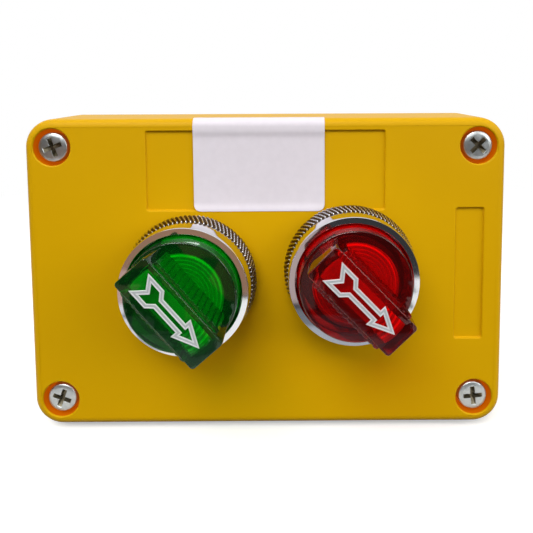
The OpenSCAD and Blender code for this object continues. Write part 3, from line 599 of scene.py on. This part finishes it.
bezel = {
    "teeth": 90,
    "samples": 10,  # points to a tooth
    "slant": 2.2,  # teeth that the knurl leans by on its way up
    "knurlLow": 1.0,
    "knurlRadius": 15.0,
    "knurlFrom": 3.0,
    "knurlTo": 4.9,
    "knurlDepth": 0.38,
    # from this share of a groove's depth down, its metal is painted dark as shade
    "dullFrom": 0.38,  # share of a groove's depth below which its metal is dull
    "coneRadius": 14.1,
    "frontRadius": 13.85,
    "mouthRadius": 12.4,
    "top": 10.25,
    "bore": 11.05,
    "toothShape": 1.3,
}


def toothPhase(a, z):
    # the teeth lean as they rise
    low, high = bezel["knurlLow"], bezel["knurlTo"]
    return bezel["teeth"] * a / 2 + math.pi * bezel["slant"] * (z - low) / (high - low)


def makeBezel(colour):
    place = onSwitch(colour)
    bm = bmesh.new()
    crest, cone = bezel["knurlRadius"], bezel["coneRadius"]
    front, mouth, top = bezel["frontRadius"], bezel["mouthRadius"], bezel["top"]
    low, turn, high = bezel["knurlLow"], bezel["knurlFrom"], bezel["knurlTo"]
    # each row: radius of the crests, height, share of the knurl's depth
    rows = [(bezel["bore"], low - 0.2, 0), (crest - 0.7, low - 0.2, 0), (crest - 0.4, low, 0.5)]  # foot
    rows += [(crest - 0.1, low + 0.25, 1)]
    rows += [(crest, low + 0.5 + (turn - low - 0.5) * i / 5, 1) for i in range(6)]  # straight knurl
    rows += [(crest + (cone + 0.2 - crest) * i / 7, turn + (high - turn) * i / 7, 1) for i in range(1, 8)]
    rows += [(cone + 0.14, high + 0.05, 0.8), (cone, high + 0.12, 0.1), (cone, high + 0.2, 0)]
    rows += [((cone + front) / 2 + 0.05, 7.4, 0), (front + 0.02, 9.3, 0), (front, 9.8, 0)]  # smooth cone
    rows += [(front - 0.04, 10.02, 0), (front - 0.11, 10.15, 0)]
    # flat rim; the close pairs of rows keep its shading flat up to its edges
    rows += [(r, top, 0) for r in (front - 0.17, front - 0.22, mouth + 0.13, mouth + 0.08)]
    rows += [(mouth + 0.02, top - 0.04, 0), (mouth, top - 0.1, 0), (mouth, 4.5, 0), (bezel["bore"], 4.5, 0)]
    count = bezel["teeth"] * bezel["samples"]
    turns = [2 * math.pi * i / count for i in range(count)]
    loops = []
    for radius, z, share in rows:
        points = []
        for a in turns:
            groove = abs(math.sin(toothPhase(a, z))) ** bezel["toothShape"]
            r = radius - share * bezel["knurlDepth"] * groove
            points.append((r * math.cos(a), r * math.sin(a)))
        loops.append(addLoop(bm, points, z, place))
    bridge(bm, loops + [loops[0]])
    # the bottoms of the grooves get painted shade: dull brown chrome
    bm.faces.ensure_lookup_table()
    for k, (lower, upper) in enumerate(zip(rows, rows[1:])):
        if lower[2] and upper[2]:
            for i in range(count):
                phase = toothPhase(2 * math.pi * (i + 0.5) / count, (lower[1] + upper[1]) / 2)
                if abs(math.sin(phase)) > bezel["dullFrom"]:
                    bm.faces[k * count + i].material_index = 1
    materials = [chromePlate, grooveChrome]
    finishPiece(bm, colour + "Bezel", materials, "box", colour + "_bezel_ring", 40)


knob = {
    "skirtRadius": 12.15,
    "skirtTop": 9.9,
    "capRadius": 11.6,
    "edge": 0.35,
    "edgeSteps": 8,
    "foot": 4.8,
    "face": 13.5,
    "top": 21.5,
    "ceiling": 11.5,
    "boreRadius": 9.8,
    "shoulder": 8.1,
    "coneTop": 9.8,
    "lensBore": 8.95,
    "handleLength": 21.8,
    "handleWidth": 7.8,
    "flare": 1.0,
    "endReach": 11.72,
    "footReach": 11.2,
    "topEdge": 0.2,
    "cornerRadius": 0.7,
    "cornerSteps": 6,
    "endSteps": 10,
    "ribPitch": 1.35,
    "ribReach": 0.85,
    "ribDip": 0.18,
    "ribRound": 0.12,
    "ribTop": 20.5,
    "ribSide": 6,
    "wall": 1.3,
    "slotReach": 9.2,
    "slotShare": 0.36,  # sine of half the angle that the hollow takes of the lens bore
    "groove": 0.35,
    "steps": 144,
}


def flankStations(flank):
    # places along the handle's side from one end to the other, ten to a rib
    pitch, side = knob["ribPitch"], knob["ribSide"]
    last = (side + 0.5) * pitch
    places = [flank + (last + 0.1 - flank) * i / 4 for i in range(5)] + [last + 0.075, last + 0.04]
    for rib in range(side, -side - 1, -1):
        places += [(rib + 0.5 - i / 10) * pitch for i in range(10)]
    places.append(-last)
    return places + [-x for x in reversed(places[:7])]


def handleLoop(z, inset=0.0):
    # outline of the handle at height z; its ends slope down to the edge of the round front
    down = (knob["top"] - z) / (knob["top"] - knob["face"])
    halfLength = knob["handleLength"] / 2 + down * (knob["footReach"] - knob["handleLength"] / 2) - inset
    halfWidth = (knob["handleWidth"] + down * knob["flare"]) / 2 - inset
    corner = max(knob["cornerRadius"] * (1 - 0.6 * down) - inset, 0.15)
    pitch = knob["ribPitch"]
    reach = knob["endReach"] + down * (knob["footReach"] - knob["endReach"])
    # ribs are low lobes that merge into each other, and their tops are rounded off
    above = min(max((z - knob["ribTop"]) / knob["ribRound"] + 1, 0.0), 1.0)
    ribReach = knob["ribReach"] * math.sqrt(1 - above * above)
    ribEnd = (knob["ribSide"] + 0.5) * pitch
    points = []
    ends, curve = knob["endSteps"], knob["cornerSteps"]
    flank = min(math.sqrt(reach**2 - halfWidth**2), halfLength) - corner
    for side in (1, -1):
        for x in flankStations(flank):  # along the flank, from the +x end to the -x end
            lobe = 0.5 - 0.5 * math.cos(2 * math.pi * x / pitch)
            fade = min(max((ribEnd + 0.1 - abs(x)) / 0.1, 0.0), 1.0)
            y = halfWidth
            if z <= knob["ribTop"]:
                crest = knob["handleWidth"] / 2 + ribReach - knob["ribDip"] * lobe
                y = max(y, halfWidth + (crest - halfWidth) * fade)
            points.append((side * x, side * y))
        for across, along in quarterArc(curve):  # round the corner
            points.append((-side * (flank + corner * along), side * (halfWidth - corner * across)))
        low = halfWidth - corner
        for i in range(1, ends):  # across the end, which bulges as far as the round front lets it
            y = low * (1 - 2 * i / ends)
            x = max(min(math.sqrt(reach**2 - y * y), halfLength), flank + corner)
            points.append((-side * x, side * y))
        for across, along in reversed(quarterArc(curve)):  # round the other corner
            points.append((-side * (flank + corner * along), -side * (halfWidth - corner * across)))
    return points


arrow = {
    "length": 16.8,
    "inset": 2.3,
    "width": 5.0,
    "shaft": 2.5,
    "head": 0.31,  # these four are shares of the length
    "tail": 0.26,
    "tailSlant": 0.07,
    "notch": 0.12,
    "line": 0.85,
    "edge": 0.2,
    "proud": 0.1,
    "dip": 0.02,
}


def arrowOutline():
    # an arrow with a flared and notched tail
    length, half, shaft = arrow["length"], arrow["width"] / 2, arrow["shaft"] / 2
    tip = knob["handleLength"] / 2 - arrow["inset"]
    head, tail = tip - arrow["head"] * length, tip - length + arrow["tail"] * length
    end, slant, notch = tip - length, arrow["tailSlant"] * length, arrow["notch"] * length
    upper = [(head, half), (head, shaft), (tail + slant, shaft), (tail, half), (end, half)]
    lower = [(x, -y) for x, y in reversed(upper)]
    return [(tip, 0.0)] + upper + [(end + notch, 0.0)] + lower


def insetOutline(points, distance):
    # moves every side of a counter-clockwise outline inwards by the distance
    corners = [complex(*point) for point in points]
    moved = []
    for i, corner in enumerate(corners):
        before, after = corner - corners[i - 1], corners[(i + 1) % len(corners)] - corner
        n, m = 1j * before / abs(before), 1j * after / abs(after)
        corner += distance * (n + m) / (1 + (n * m.conjugate()).real)
        moved.append((corner.real, corner.imag))
    return moved


def lensBoreLoop(steps):
    # the bore round the lens, a little wider where the hollow under the handle runs into it
    points = []
    for i in range(steps):
        a = 2 * math.pi * i / steps
        radius = knob["slotReach"] + 0.15 if abs(math.sin(a)) < knob["slotShare"] else knob["lensBore"]
        points.append((radius * math.cos(a), radius * math.sin(a)))
    return points


def makeKnob(colour, material):
    place = onSwitch(colour, True)
    bm = bmesh.new()
    face, top, edge = knob["face"], knob["top"], knob["edge"]
    steps = knob["steps"]
    outside = [(knob["boreRadius"], knob["foot"]), (knob["skirtRadius"] - 0.2, knob["foot"])]
    outside += [(knob["skirtRadius"], knob["foot"] + 0.2), (knob["skirtRadius"], knob["skirtTop"])]
    for across, up in quarterArc(knob["edgeSteps"], 0):
        outside.append((knob["capRadius"] - edge * across, face - edge + edge * up))
    loops = addRings(bm, outside, steps, place=place)
    # inside, a cone narrows the bore to the lens; it keeps the ring round the lens dark
    innerLoops = [loops[0], addLoop(bm, circleLoop(knob["boreRadius"], steps), knob["shoulder"], place)]
    innerLoops += [addLoop(bm, lensBoreLoop(steps), z, place) for z in (knob["coneTop"], knob["ceiling"])]
    bridge(bm, loops)
    bridge(bm, innerLoops)
    # handle: rows from its foot to the rounded top edge
    ribTop = knob["ribTop"]
    heights = [face, face + 2, face + 4, ribTop - knob["ribRound"]]
    heights += [ribTop - knob["ribRound"] * (1 - up) for _, up in quarterArc(6)]
    heights += [ribTop + 0.3, top - knob["topEdge"]]
    rows = [addLoop(bm, handleLoop(z), z, place) for z in heights]
    e = knob["topEdge"]
    for across, up in quarterArc(5):
        rows.append(addLoop(bm, handleLoop(top, e * across), top - e + e * up, place))
    bridge(bm, rows)
    fill(bm, [loops[-1], rows[0]])
    # groove for the inlay in the handle's top
    grooves = []
    for distance in (-0.03, arrow["line"] + 0.03):
        outline = insetOutline(arrowOutline(), distance)
        grooves.append([addLoop(bm, outline, z, place) for z in (top, top - knob["groove"])])
    fill(bm, [rows[-1], grooves[0][0]])
    fill(bm, [grooves[1][0]])
    for pair in grooves:
        bridge(bm, pair)
    fill(bm, [grooves[0][1], grooves[1][1]])
    # hollow under the handle
    half, reach = knob["handleWidth"] / 2 - knob["wall"], knob["slotReach"]
    reachAngle = math.degrees(math.asin(half / reach))
    slot = []
    for side in (0, 180):
        for i in range(13):
            a = math.radians(side - reachAngle + 2 * reachAngle * i / 12)
            slot.append((reach * math.cos(a), reach * math.sin(a)))
    slotLoops = [addLoop(bm, slot, z, place) for z in (knob["ceiling"], top - knob["wall"])]
    bridge(bm, slotLoops)
    fill(bm, [slotLoops[1]])
    fill(bm, [innerLoops[-1], slotLoops[0]])
    body, slotName = colour + "_selector", colour + "_acrylic"
    finishPiece(bm, colour + "Knob", [material], body, colour + "_knob", 28)


def makeArrow(colour):
    place = onSwitch(colour, True)
    bm = bmesh.new()
    top, low = knob["top"] + arrow["proud"], knob["top"] - knob["groove"] + 0.01
    # across the line: a raised edge, the sunk middle and the other edge
    line, edge, sunk = arrow["line"], arrow["edge"], top - arrow["dip"] - 0.03
    profile = [(0, low), (0, top - 0.05), (0.05, top), (edge, top), (edge + 0.05, sunk)]
    profile += [(line - edge - 0.05, sunk), (line - edge, top), (line - 0.05, top)]
    profile += [(line, top - 0.05), (line, low)]
    loops = [addLoop(bm, insetOutline(arrowOutline(), distance), z, place) for distance, z in profile]
    bridge(bm, loops[:5])
    bridge(bm, loops[4:6], 1)
    bridge(bm, loops[5:] + [loops[0]])
    body, materials = colour + "_selector", [whiteEnamel, greyEnamel]
    finishPiece(bm, colour + "Arrow", materials, body, colour + "_arrow", 30)


lens = {
    "radius": 8.8,
    "clearRadius": 8.5,
    "low": 8.05,
    "flange": 10.2,
    "top": 11.2,
    "pitch": 0.84,
    "prism": 0.5,
    "prismMiddle": 0.3,  # share of the prisms' depth that is left in the middle
    "face": 0.3,
    "hub": 0.3,
    "steps": 120,
    "barHalf": 2.48,
    "barReach": 8.9,
    "barTop": 19.85,
    "barPitch": 1.0,
    "barArcs": 4,
    "barPrism": 0.5,
    "barFace": 0.42,
    "barColumns": 8,
}


def barRow(bm, place, radius, side, z):
    # points across the bar on a circle round the knob's axis
    half, count = lens["barHalf"], lens["barColumns"]
    points = []
    for i in range(count + 1):
        y = half * (1 - 2 * i / count) * side
        points.append((side * math.sqrt(max(radius * radius - y * y, 0.0)), y))
    return addLoop(bm, points, z, place)


def makeLens(colour):
    place = onSwitch(colour, True)
    bm = bmesh.new()
    # flat rings, each with a prism face outside it: broad at the rim and fine in the middle; the prism faces get
    # the painted highlight
    clear, pitch, top = lens["clearRadius"], lens["pitch"], lens["top"]
    rim, flange, middle = lens["radius"], lens["flange"], lens["prismMiddle"]
    profile = [(rim, lens["low"], 0), (rim, flange, 0), (clear, flange, 0)]
    radius = clear
    while radius > 1.2 * pitch:
        share = radius / clear
        profile.append((radius, top - lens["prism"] * (middle + (1 - middle) * share), 1))
        profile.append((radius - lens["face"] * share**2, top, 0))
        profile.append((radius - pitch, top - 0.04, 0))
        radius -= pitch
    profile.append((lens["hub"], top, 0))
    loops = addRings(bm, [row[:2] for row in profile], lens["steps"], place=place)
    for k, (_, _, slot) in enumerate(profile[:-1]):
        bridge(bm, loops[k : k + 2], slot)
    cap(bm, loops[0], bm.verts.new(place(0, 0, lens["low"])))
    cap(bm, loops[-1], bm.verts.new(place(0, 0, lens["top"])))
    # bar up into the handle, with prism arcs across its top towards both ends
    top, dip, low = lens["barTop"], lens["barTop"] - lens["barPrism"], lens["top"] - 1.0
    reach, barPitch = lens["barReach"], lens["barPitch"]
    rows, shineSlots = [], []
    for side in (1, -1):
        # only the arcs on the pointer's side fall steeply and get the painted highlight
        fall, shineSlot = (dip, 1) if side > 0 else (top - 0.05, 0)
        arcs = [(reach, low, 0)]
        for i in range(lens["barArcs"]):
            radius = reach - i * barPitch
            inner = radius - barPitch
            arcs += [(radius, top, 0), (inner + lens["barFace"], top, shineSlot), (inner + 0.02, fall, 0)]
        arcs.append((reach - lens["barArcs"] * barPitch, top, 0))
        made = [barRow(bm, place, r, side, z) for r, z, _ in arcs]
        slots = [slot for _, _, slot in arcs]
        rows += made if side > 0 else [row[::-1] for row in made[::-1]]
        shineSlots += slots if side > 0 else slots[-2::-1] + [0]
    for k in range(len(rows) - 1):
        bridge(bm, rows[k : k + 2], shineSlots[k], closed=False)
    for k in (0, -1):
        bm.faces.new([row[k] for row in rows])
    bm.faces.new(rows[0] + rows[-1][::-1])
    body, materials = colour + "_selector", [frostedLens, prismLens]
    finishPiece(bm, colour + "Lens", materials, body, colour + "_diffuser", 12)


for colour, material in (("green", greenAcrylic), ("red", redAcrylic)):
    makeBezel(colour)
    makeKnob(colour, material)
    makeArrow(colour)
    makeLens(colour)
print("made the switches")


spring = {
    "travel": 2.5,
    "parts": ("return_spring", "no_spring", "nc_spring"),
}


def makeSpring(colour, part):
    # the wound wire of the CAD node, as a piece of its own
    nodeName = f"{colour}_{part}"
    name = colour + part.title().replace("_", "")
    bm = bmesh.new()
    bm.from_mesh(frame["nodes"][nodeName].data)
    bm.transform(frame["nodes"][nodeName].matrix_world)
    piece = finishPiece(bm, name, [springWire], "box", nodeName)
    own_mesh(piece)


for colour in ("green", "red"):
    for part in spring["parts"]:
        makeSpring(colour, part)
print("made the springs")


screw = {
    "headRadius": 3.4,
    "headHeight": 2.4,
    "sink": 0.4,
    "shankRadius": 1.75,
    "length": 22.0,
    "crossLength": 4.5,
    "crossWidth": 1.15,
    "crossDepth": 1.5,
    "steps": 48,
    "turns": {(-1, 1): 20, (1, 1): 45, (-1, -1): -20, (1, -1): 5},  # by corner, in degrees
}


def crossLoop(length, width):
    # twelve corners of a cross, counter-clockwise
    a, b = length / 2, width / 2
    points = [(a, -b), (a, b), (b, b), (b, a), (-b, a), (-b, b)]
    return points + [(-x, -y) for x, y in points]


def makeScrews():
    bm = bmesh.new()
    seat = -(screw["sink"] + screw["headHeight"])
    r, h = screw["headRadius"], screw["headHeight"]
    for (sx, sy), turn in screw["turns"].items():
        place = turnedPlace(sx * screwX, sy * screwY, turn)
        # from the tip up the shank, round the head and over its edge
        profile = [(0.3, seat - screw["length"]), (screw["shankRadius"], seat - screw["length"] + 2)]
        profile += [(screw["shankRadius"], seat), (r - 0.15, seat), (r, seat + 0.15), (r, seat + h - 0.75)]
        for i in range(1, 6):
            b = math.radians(75 * i / 5)
            profile.append((r - 0.5 + 0.5 * math.cos(b), seat + h - 0.75 + 0.5 * math.sin(b)))
        profile += [(r - 0.75, seat + h - 0.16), (r - 0.95, seat + h - 0.1)]
        loops = addRings(bm, profile, screw["steps"], place=place)
        bridge(bm, loops)
        cap(bm, loops[0], bm.verts.new(place(0, 0, profile[0][1])))
        # the cross, worn from a little below its rim
        topZ, length, width = profile[-1][1], screw["crossLength"], screw["crossWidth"]
        rim = addLoop(bm, crossLoop(length, width), topZ, place)
        mid = addLoop(bm, crossLoop(length - 0.2, width - 0.2), topZ - 0.12, place)
        deep = addLoop(bm, crossLoop(length * 0.5, width - 0.45), topZ - screw["crossDepth"], place)
        fill(bm, [loops[-1], rim])
        bridge(bm, [rim, mid])
        bridge(bm, [mid, deep], 1)
        fill(bm, [deep], 1)
    finishPiece(bm, "lidScrews", [zincPlate, wornZinc], "box", "lid_screws", 35)


makeScrews()
print("made the screws")


label = {
    "width": 30.0,
    "x": -1.5,
    "height": 21.4,
    "wrap": 2.2,
    "corner": 1.6,
    "thickness": 0.15,
    "sag": 0.32,  # how far it hangs into the recess
    "sagRim": 1.6,  # width over which it goes down
    "columns": 60,
    "faceRows": 34,
    "bendRows": 8,
}


def makeLabel():
    bm = bmesh.new()
    halfTop = box["height"] / 2 - box["draft"]
    edge = lid["edgeRadius"]
    low = halfTop - label["height"]
    bend = halfTop - edge
    arcLength = math.pi / 2 * edge
    total = (bend - low) + arcLength + (label["wrap"] - edge)
    rw, rh, rx, ry = lid["wideRecess"]
    slope, faceRows, bendRows = label["sagRim"], label["faceRows"], label["bendRows"]

    def pathPoint(s, x, lift):
        # where a point of the sticker lies, s along it from its lower edge
        if s < bend - low:
            y = low + s
            dx = (rw / 2 - abs(x - rx)) / slope
            dy = min(y - (ry - rh / 2), (ry + rh / 2) - y) / slope
            inside = max(min(dx, dy, 1.0), 0.0)
            sag = label["sag"] * inside * inside * (3 - 2 * inside)
            return onFace(x, y, lift - sag)
        a = (s - (bend - low)) / edge
        if a < math.pi / 2:
            return onFace(x, bend + (edge + lift) * math.sin(a), -edge + (edge + lift) * math.cos(a))
        return onFace(x, halfTop + lift, -edge - (s - (bend - low) - arcLength))

    r, columns = label["corner"], label["columns"]
    stations = [0, 0.08, 0.3, 0.7, 1.1, r]
    stations += [r + (bend - low - r) * i / faceRows for i in range(1, faceRows + 1)]
    stations += [bend - low + arcLength * i / bendRows for i in range(1, bendRows + 1)]
    stations += [total]
    rims = []
    for lift in (label["thickness"], 0.02):
        grid = []
        for s in stations:
            d = min(s, r)
            half = label["width"] / 2 - (r - math.sqrt(max(r * r - (r - d) ** 2, 0.0)))
            across = [label["x"] + half * (2 * i / columns - 1) for i in range(columns + 1)]
            grid.append([bm.verts.new(pathPoint(s, x, lift)) for x in across])
        bridge(bm, grid, closed=False)
        leftSide, rightSide = [row[0] for row in grid[-2:0:-1]], [row[-1] for row in grid[1:]]
        rims.append(grid[0] + rightSide + grid[-1][-2::-1] + leftSide)
    bridge(bm, rims)
    finishPiece(bm, "blankSticker", [labelPaper], "box", "label", 40)


makeLabel()
print("made the sticker")


studio = {
    "floorSize": 8.0,
    "floorColour": "#e8e6e2",
    "floorBounce": "#2c2a28",
    "floorLift": 0.4,
    "fadeFrom": 0.16,
    "fadeTo": 0.5,
    # patches of the floor as gloss sees them: x range and y range in millimetres, and colour
    "mirrored": [
        ((-900, 900), (-112, -96), "#6c7078"),
        ((-900, 900), (-96, -78), "#a2a6ae"),
        ((-900, 900), (-78, 900), "#ececec"),
        ((-400, -25), (-600, -195), "#8a6a56"),
        ((-400, -80), (-600, -150), "#8a6a56"),
        ((-34, -5), (-215, -128), "#8a6a56"),
        ((-110, -64), (-165, -112), "#b4958c"),
        ((-5, 15), (-215, -118), "#a89694"),
        ((5, 30), (-260, -215), "#a89694"),
        ((-110, -60), (-118, -104), "#d8d8dc"),
        ((-110, -53), (-104, -94), "#d8d8dc"),
        ((-110, -48), (-94, -86), "#d8d8dc"),
        ((-18.5, -5), (-124, -84), "#ececec"),
        ((-24, -5), (-90, -78), "#ececec"),
        ((61, 400), (-150, -130), "#ececec"),
        ((55, 400), (-130, -112), "#ececec"),
        ((50, 400), (-112, -90), "#ececec"),
    ],
    "roomColour": "#303032",
    # how far back, and how far up, gloss has to look for the dim room to turn white
    "backWall": (-0.1, 0.3),
    "ceiling": (0.35, 0.75),
    "roomLight": 0.06,
    "worldLight": 0.56,
    "keyPower": 8.8,
    "fillPower": 3.9,
    "topPower": 0.2,
}


def addFloor():
    half = studio["floorSize"] / 2
    mesh = bpy.data.meshes.new("floor")
    mesh.from_pydata([(sx * half, sy * half, 0) for sx, sy in quadrants], [], [(0, 1, 2, 3)])
    floor = addObject("floor", mesh)
    # white paper: it keeps the box's shadow near it and runs out to plain white further off
    material, tree, shader, coords = startMaterial(
        "whitePaper",
        {"Base Color": toLinear(studio["floorColour"]), "Roughness": 0.9, "Specular IOR Level": 0.1},
    )
    output = tree.get_output_node("ALL")
    path = addNode(tree, "ShaderNodeLightPath")
    far = addNode(tree, "ShaderNodeVectorMath", {"operation": "LENGTH"}, {0: coords})
    settings = {"From Min": studio["fadeFrom"], "From Max": studio["fadeTo"]}
    fade = addNode(tree, "ShaderNodeMapRange", settings, {"Value": far.outputs["Value"]})
    lift = addNode(tree, "ShaderNodeEmission", {"Strength": studio["floorLift"]})
    sources = {0: shader.outputs["BSDF"], 1: lift.outputs["Emission"]}
    near = addNode(tree, "ShaderNodeAddShader", None, sources)
    white = addNode(tree, "ShaderNodeEmission", {"Strength": 1.0})
    sources = {0: fade.outputs["Result"], 1: near.outputs["Shader"], 2: white.outputs["Emission"]}
    seen = addNode(tree, "ShaderNodeMixShader", None, sources)
    # metal and gloss see a dim room with white paper round the box, its grey front edge, and brown and pale
    # things before it, all as flat patches; a later patch lies over an earlier one
    place = addNode(tree, "ShaderNodeSeparateXYZ", None, {0: coords})
    sheet = addNode(tree, "ShaderNodeRGB")
    sheet.outputs[0].default_value = toLinear(studio["roomColour"])
    for xRange, yRange, colour in studio["mirrored"]:
        masks = []
        for axis, (low, high) in (("X", xRange), ("Y", yRange)):
            settings = {"operation": "COMPARE", 1: (low + high) / 2000, 2: (high - low) / 2000}
            masks.append(addNode(tree, "ShaderNodeMath", settings, {0: place.outputs[axis]}))
        sources = {0: masks[0].outputs[0], 1: masks[1].outputs[0]}
        inside = addNode(tree, "ShaderNodeMath", {"operation": "MULTIPLY"}, sources)
        sources = {0: inside.outputs[0], 6: sheet.outputs[2 if sheet.type == "MIX" else 0]}
        sheet = addNode(tree, "ShaderNodeMix", {"data_type": "RGBA", 7: toLinear(colour)}, sources)
    mirrored = addNode(tree, "ShaderNodeBsdfDiffuse", None, {"Color": sheet.outputs[2]})
    # the light that the floor throws back is kept low, so that the box gets darker downwards
    bounce = addNode(tree, "ShaderNodeBsdfDiffuse", {"Color": toLinear(studio["floorBounce"])})
    sources = {0: path.outputs["Is Glossy Ray"], 1: bounce.outputs["BSDF"], 2: mirrored.outputs["BSDF"]}
    lit = addNode(tree, "ShaderNodeMixShader", None, sources)
    sources = {0: path.outputs["Is Camera Ray"], 1: lit.outputs["Shader"], 2: seen.outputs["Shader"]}
    pick = addNode(tree, "ShaderNodeMixShader", None, sources)
    tree.links.new(pick.outputs["Shader"], output.inputs["Surface"])
    mesh.materials.append(material)


def addLight(name, size, power, place, target=(0, 0, 0.04)):
    data = bpy.data.lights.new(name, "AREA")
    data.shape = "RECTANGLE"
    data.size, data.size_y = size
    data.energy = power
    lamp = addObject(name, data)
    lamp.location = place
    lamp.rotation_euler = (Vector(target) - Vector(place)).to_track_quat("-Z", "Y").to_euler()


def addWorld():
    world = bpy.data.worlds.new("whiteRoom")
    bpy.context.scene.world = world
    world.use_nodes = True
    tree = world.node_tree
    tree.nodes.clear()
    path = addNode(tree, "ShaderNodeLightPath")
    sources = {0: path.outputs["Is Camera Ray"], 1: path.outputs["Is Transmission Ray"]}
    seen = addNode(tree, "ShaderNodeMath", {"operation": "MAXIMUM"}, sources)
    # gloss sees a white wall behind the box and a white ceiling, and a dim room in front of it
    coords = addNode(tree, "ShaderNodeTexCoord")
    way = addNode(tree, "ShaderNodeSeparateXYZ", None, {0: coords.outputs["Generated"]})
    whites = []
    for axis, (low, high) in (("Y", studio["backWall"]), ("Z", studio["ceiling"])):
        settings = {"From Min": low, "From Max": high}
        whites.append(addNode(tree, "ShaderNodeMapRange", settings, {"Value": way.outputs[axis]}))
    sources = {0: whites[0].outputs["Result"], 1: whites[1].outputs["Result"]}
    bright = addNode(tree, "ShaderNodeMath", {"operation": "MAXIMUM"}, sources)
    settings = {"To Min": studio["roomLight"], "To Max": 1.0}
    level = addNode(tree, "ShaderNodeMapRange", settings, {"Value": bright.outputs["Value"]})
    white = (1, 1, 1, 1)
    gloss = addNode(tree, "ShaderNodeBackground", {"Color": white}, {"Strength": level.outputs["Result"]})
    plain = addNode(tree, "ShaderNodeBackground", {"Color": white, "Strength": studio["worldLight"]})
    gloss, plain = gloss.outputs["Background"], plain.outputs["Background"]
    sources = {0: path.outputs["Is Glossy Ray"], 1: plain, 2: gloss}
    lit = addNode(tree, "ShaderNodeMixShader", None, sources)
    shown = addNode(tree, "ShaderNodeBackground", {"Color": white, "Strength": 1.0})
    sources = {0: seen.outputs["Value"], 1: lit.outputs["Shader"], 2: shown.outputs["Background"]}
    pick = addNode(tree, "ShaderNodeMixShader", None, sources)
    addNode(tree, "ShaderNodeOutputWorld", None, {"Surface": pick.outputs["Shader"]})


addFloor()
addLight("keySoftbox", (0.8, 0.5), studio["keyPower"], (-0.22, -0.7, 0.85))
addLight("fillSoftbox", (0.6, 0.6), studio["fillPower"], (0.8, -0.6, 0.45))
addLight("topSoftbox", (0.9, 0.9), studio["topPower"], (0.0, 0.2, 1.1))
addWorld()

# the camera as the photograph was taken, found from the lid's edges and the rings
cameraFit = {
    "focalPixels": 455.48,
    "imagePixels": 533,
    "place": (5.913, -103.692, 33.319),
    "pitch": 0.0657,
    "yaw": 0.0024,
    "roll": -0.0049,
    "shiftPixels": (26.0, -106.0),
    "sensor": 36.0,
}
pitchTurn = Matrix.Rotation(cameraFit["pitch"], 3, "X")
yawTurn = Matrix.Rotation(cameraFit["yaw"], 3, "Z")
rollTurn = Matrix.Rotation(cameraFit["roll"], 3, "Y")
right, forward, up = rollTurn @ pitchTurn @ yawTurn
cameraData = bpy.data.cameras.new("camera")
cameraData.sensor_width = cameraFit["sensor"]
cameraData.lens = cameraFit["focalPixels"] / cameraFit["imagePixels"] * cameraFit["sensor"]
cameraData.shift_x = -cameraFit["shiftPixels"][0] / cameraFit["imagePixels"]
cameraData.shift_y = cameraFit["shiftPixels"][1] / cameraFit["imagePixels"]
cameraData.clip_start, cameraData.clip_end = 0.005, 20.0
camera = addObject("camera", cameraData)
x, y, z = cameraFit["place"]
turn = Matrix((right, up, -forward)).transposed()
camera.matrix_world = Matrix.Translation(onFace(x, z, -y)) @ turn.to_4x4()
bpy.context.scene.camera = camera
bpy.context.scene.view_settings.view_transform = "Standard"
print("set the floor, the lights and the camera")
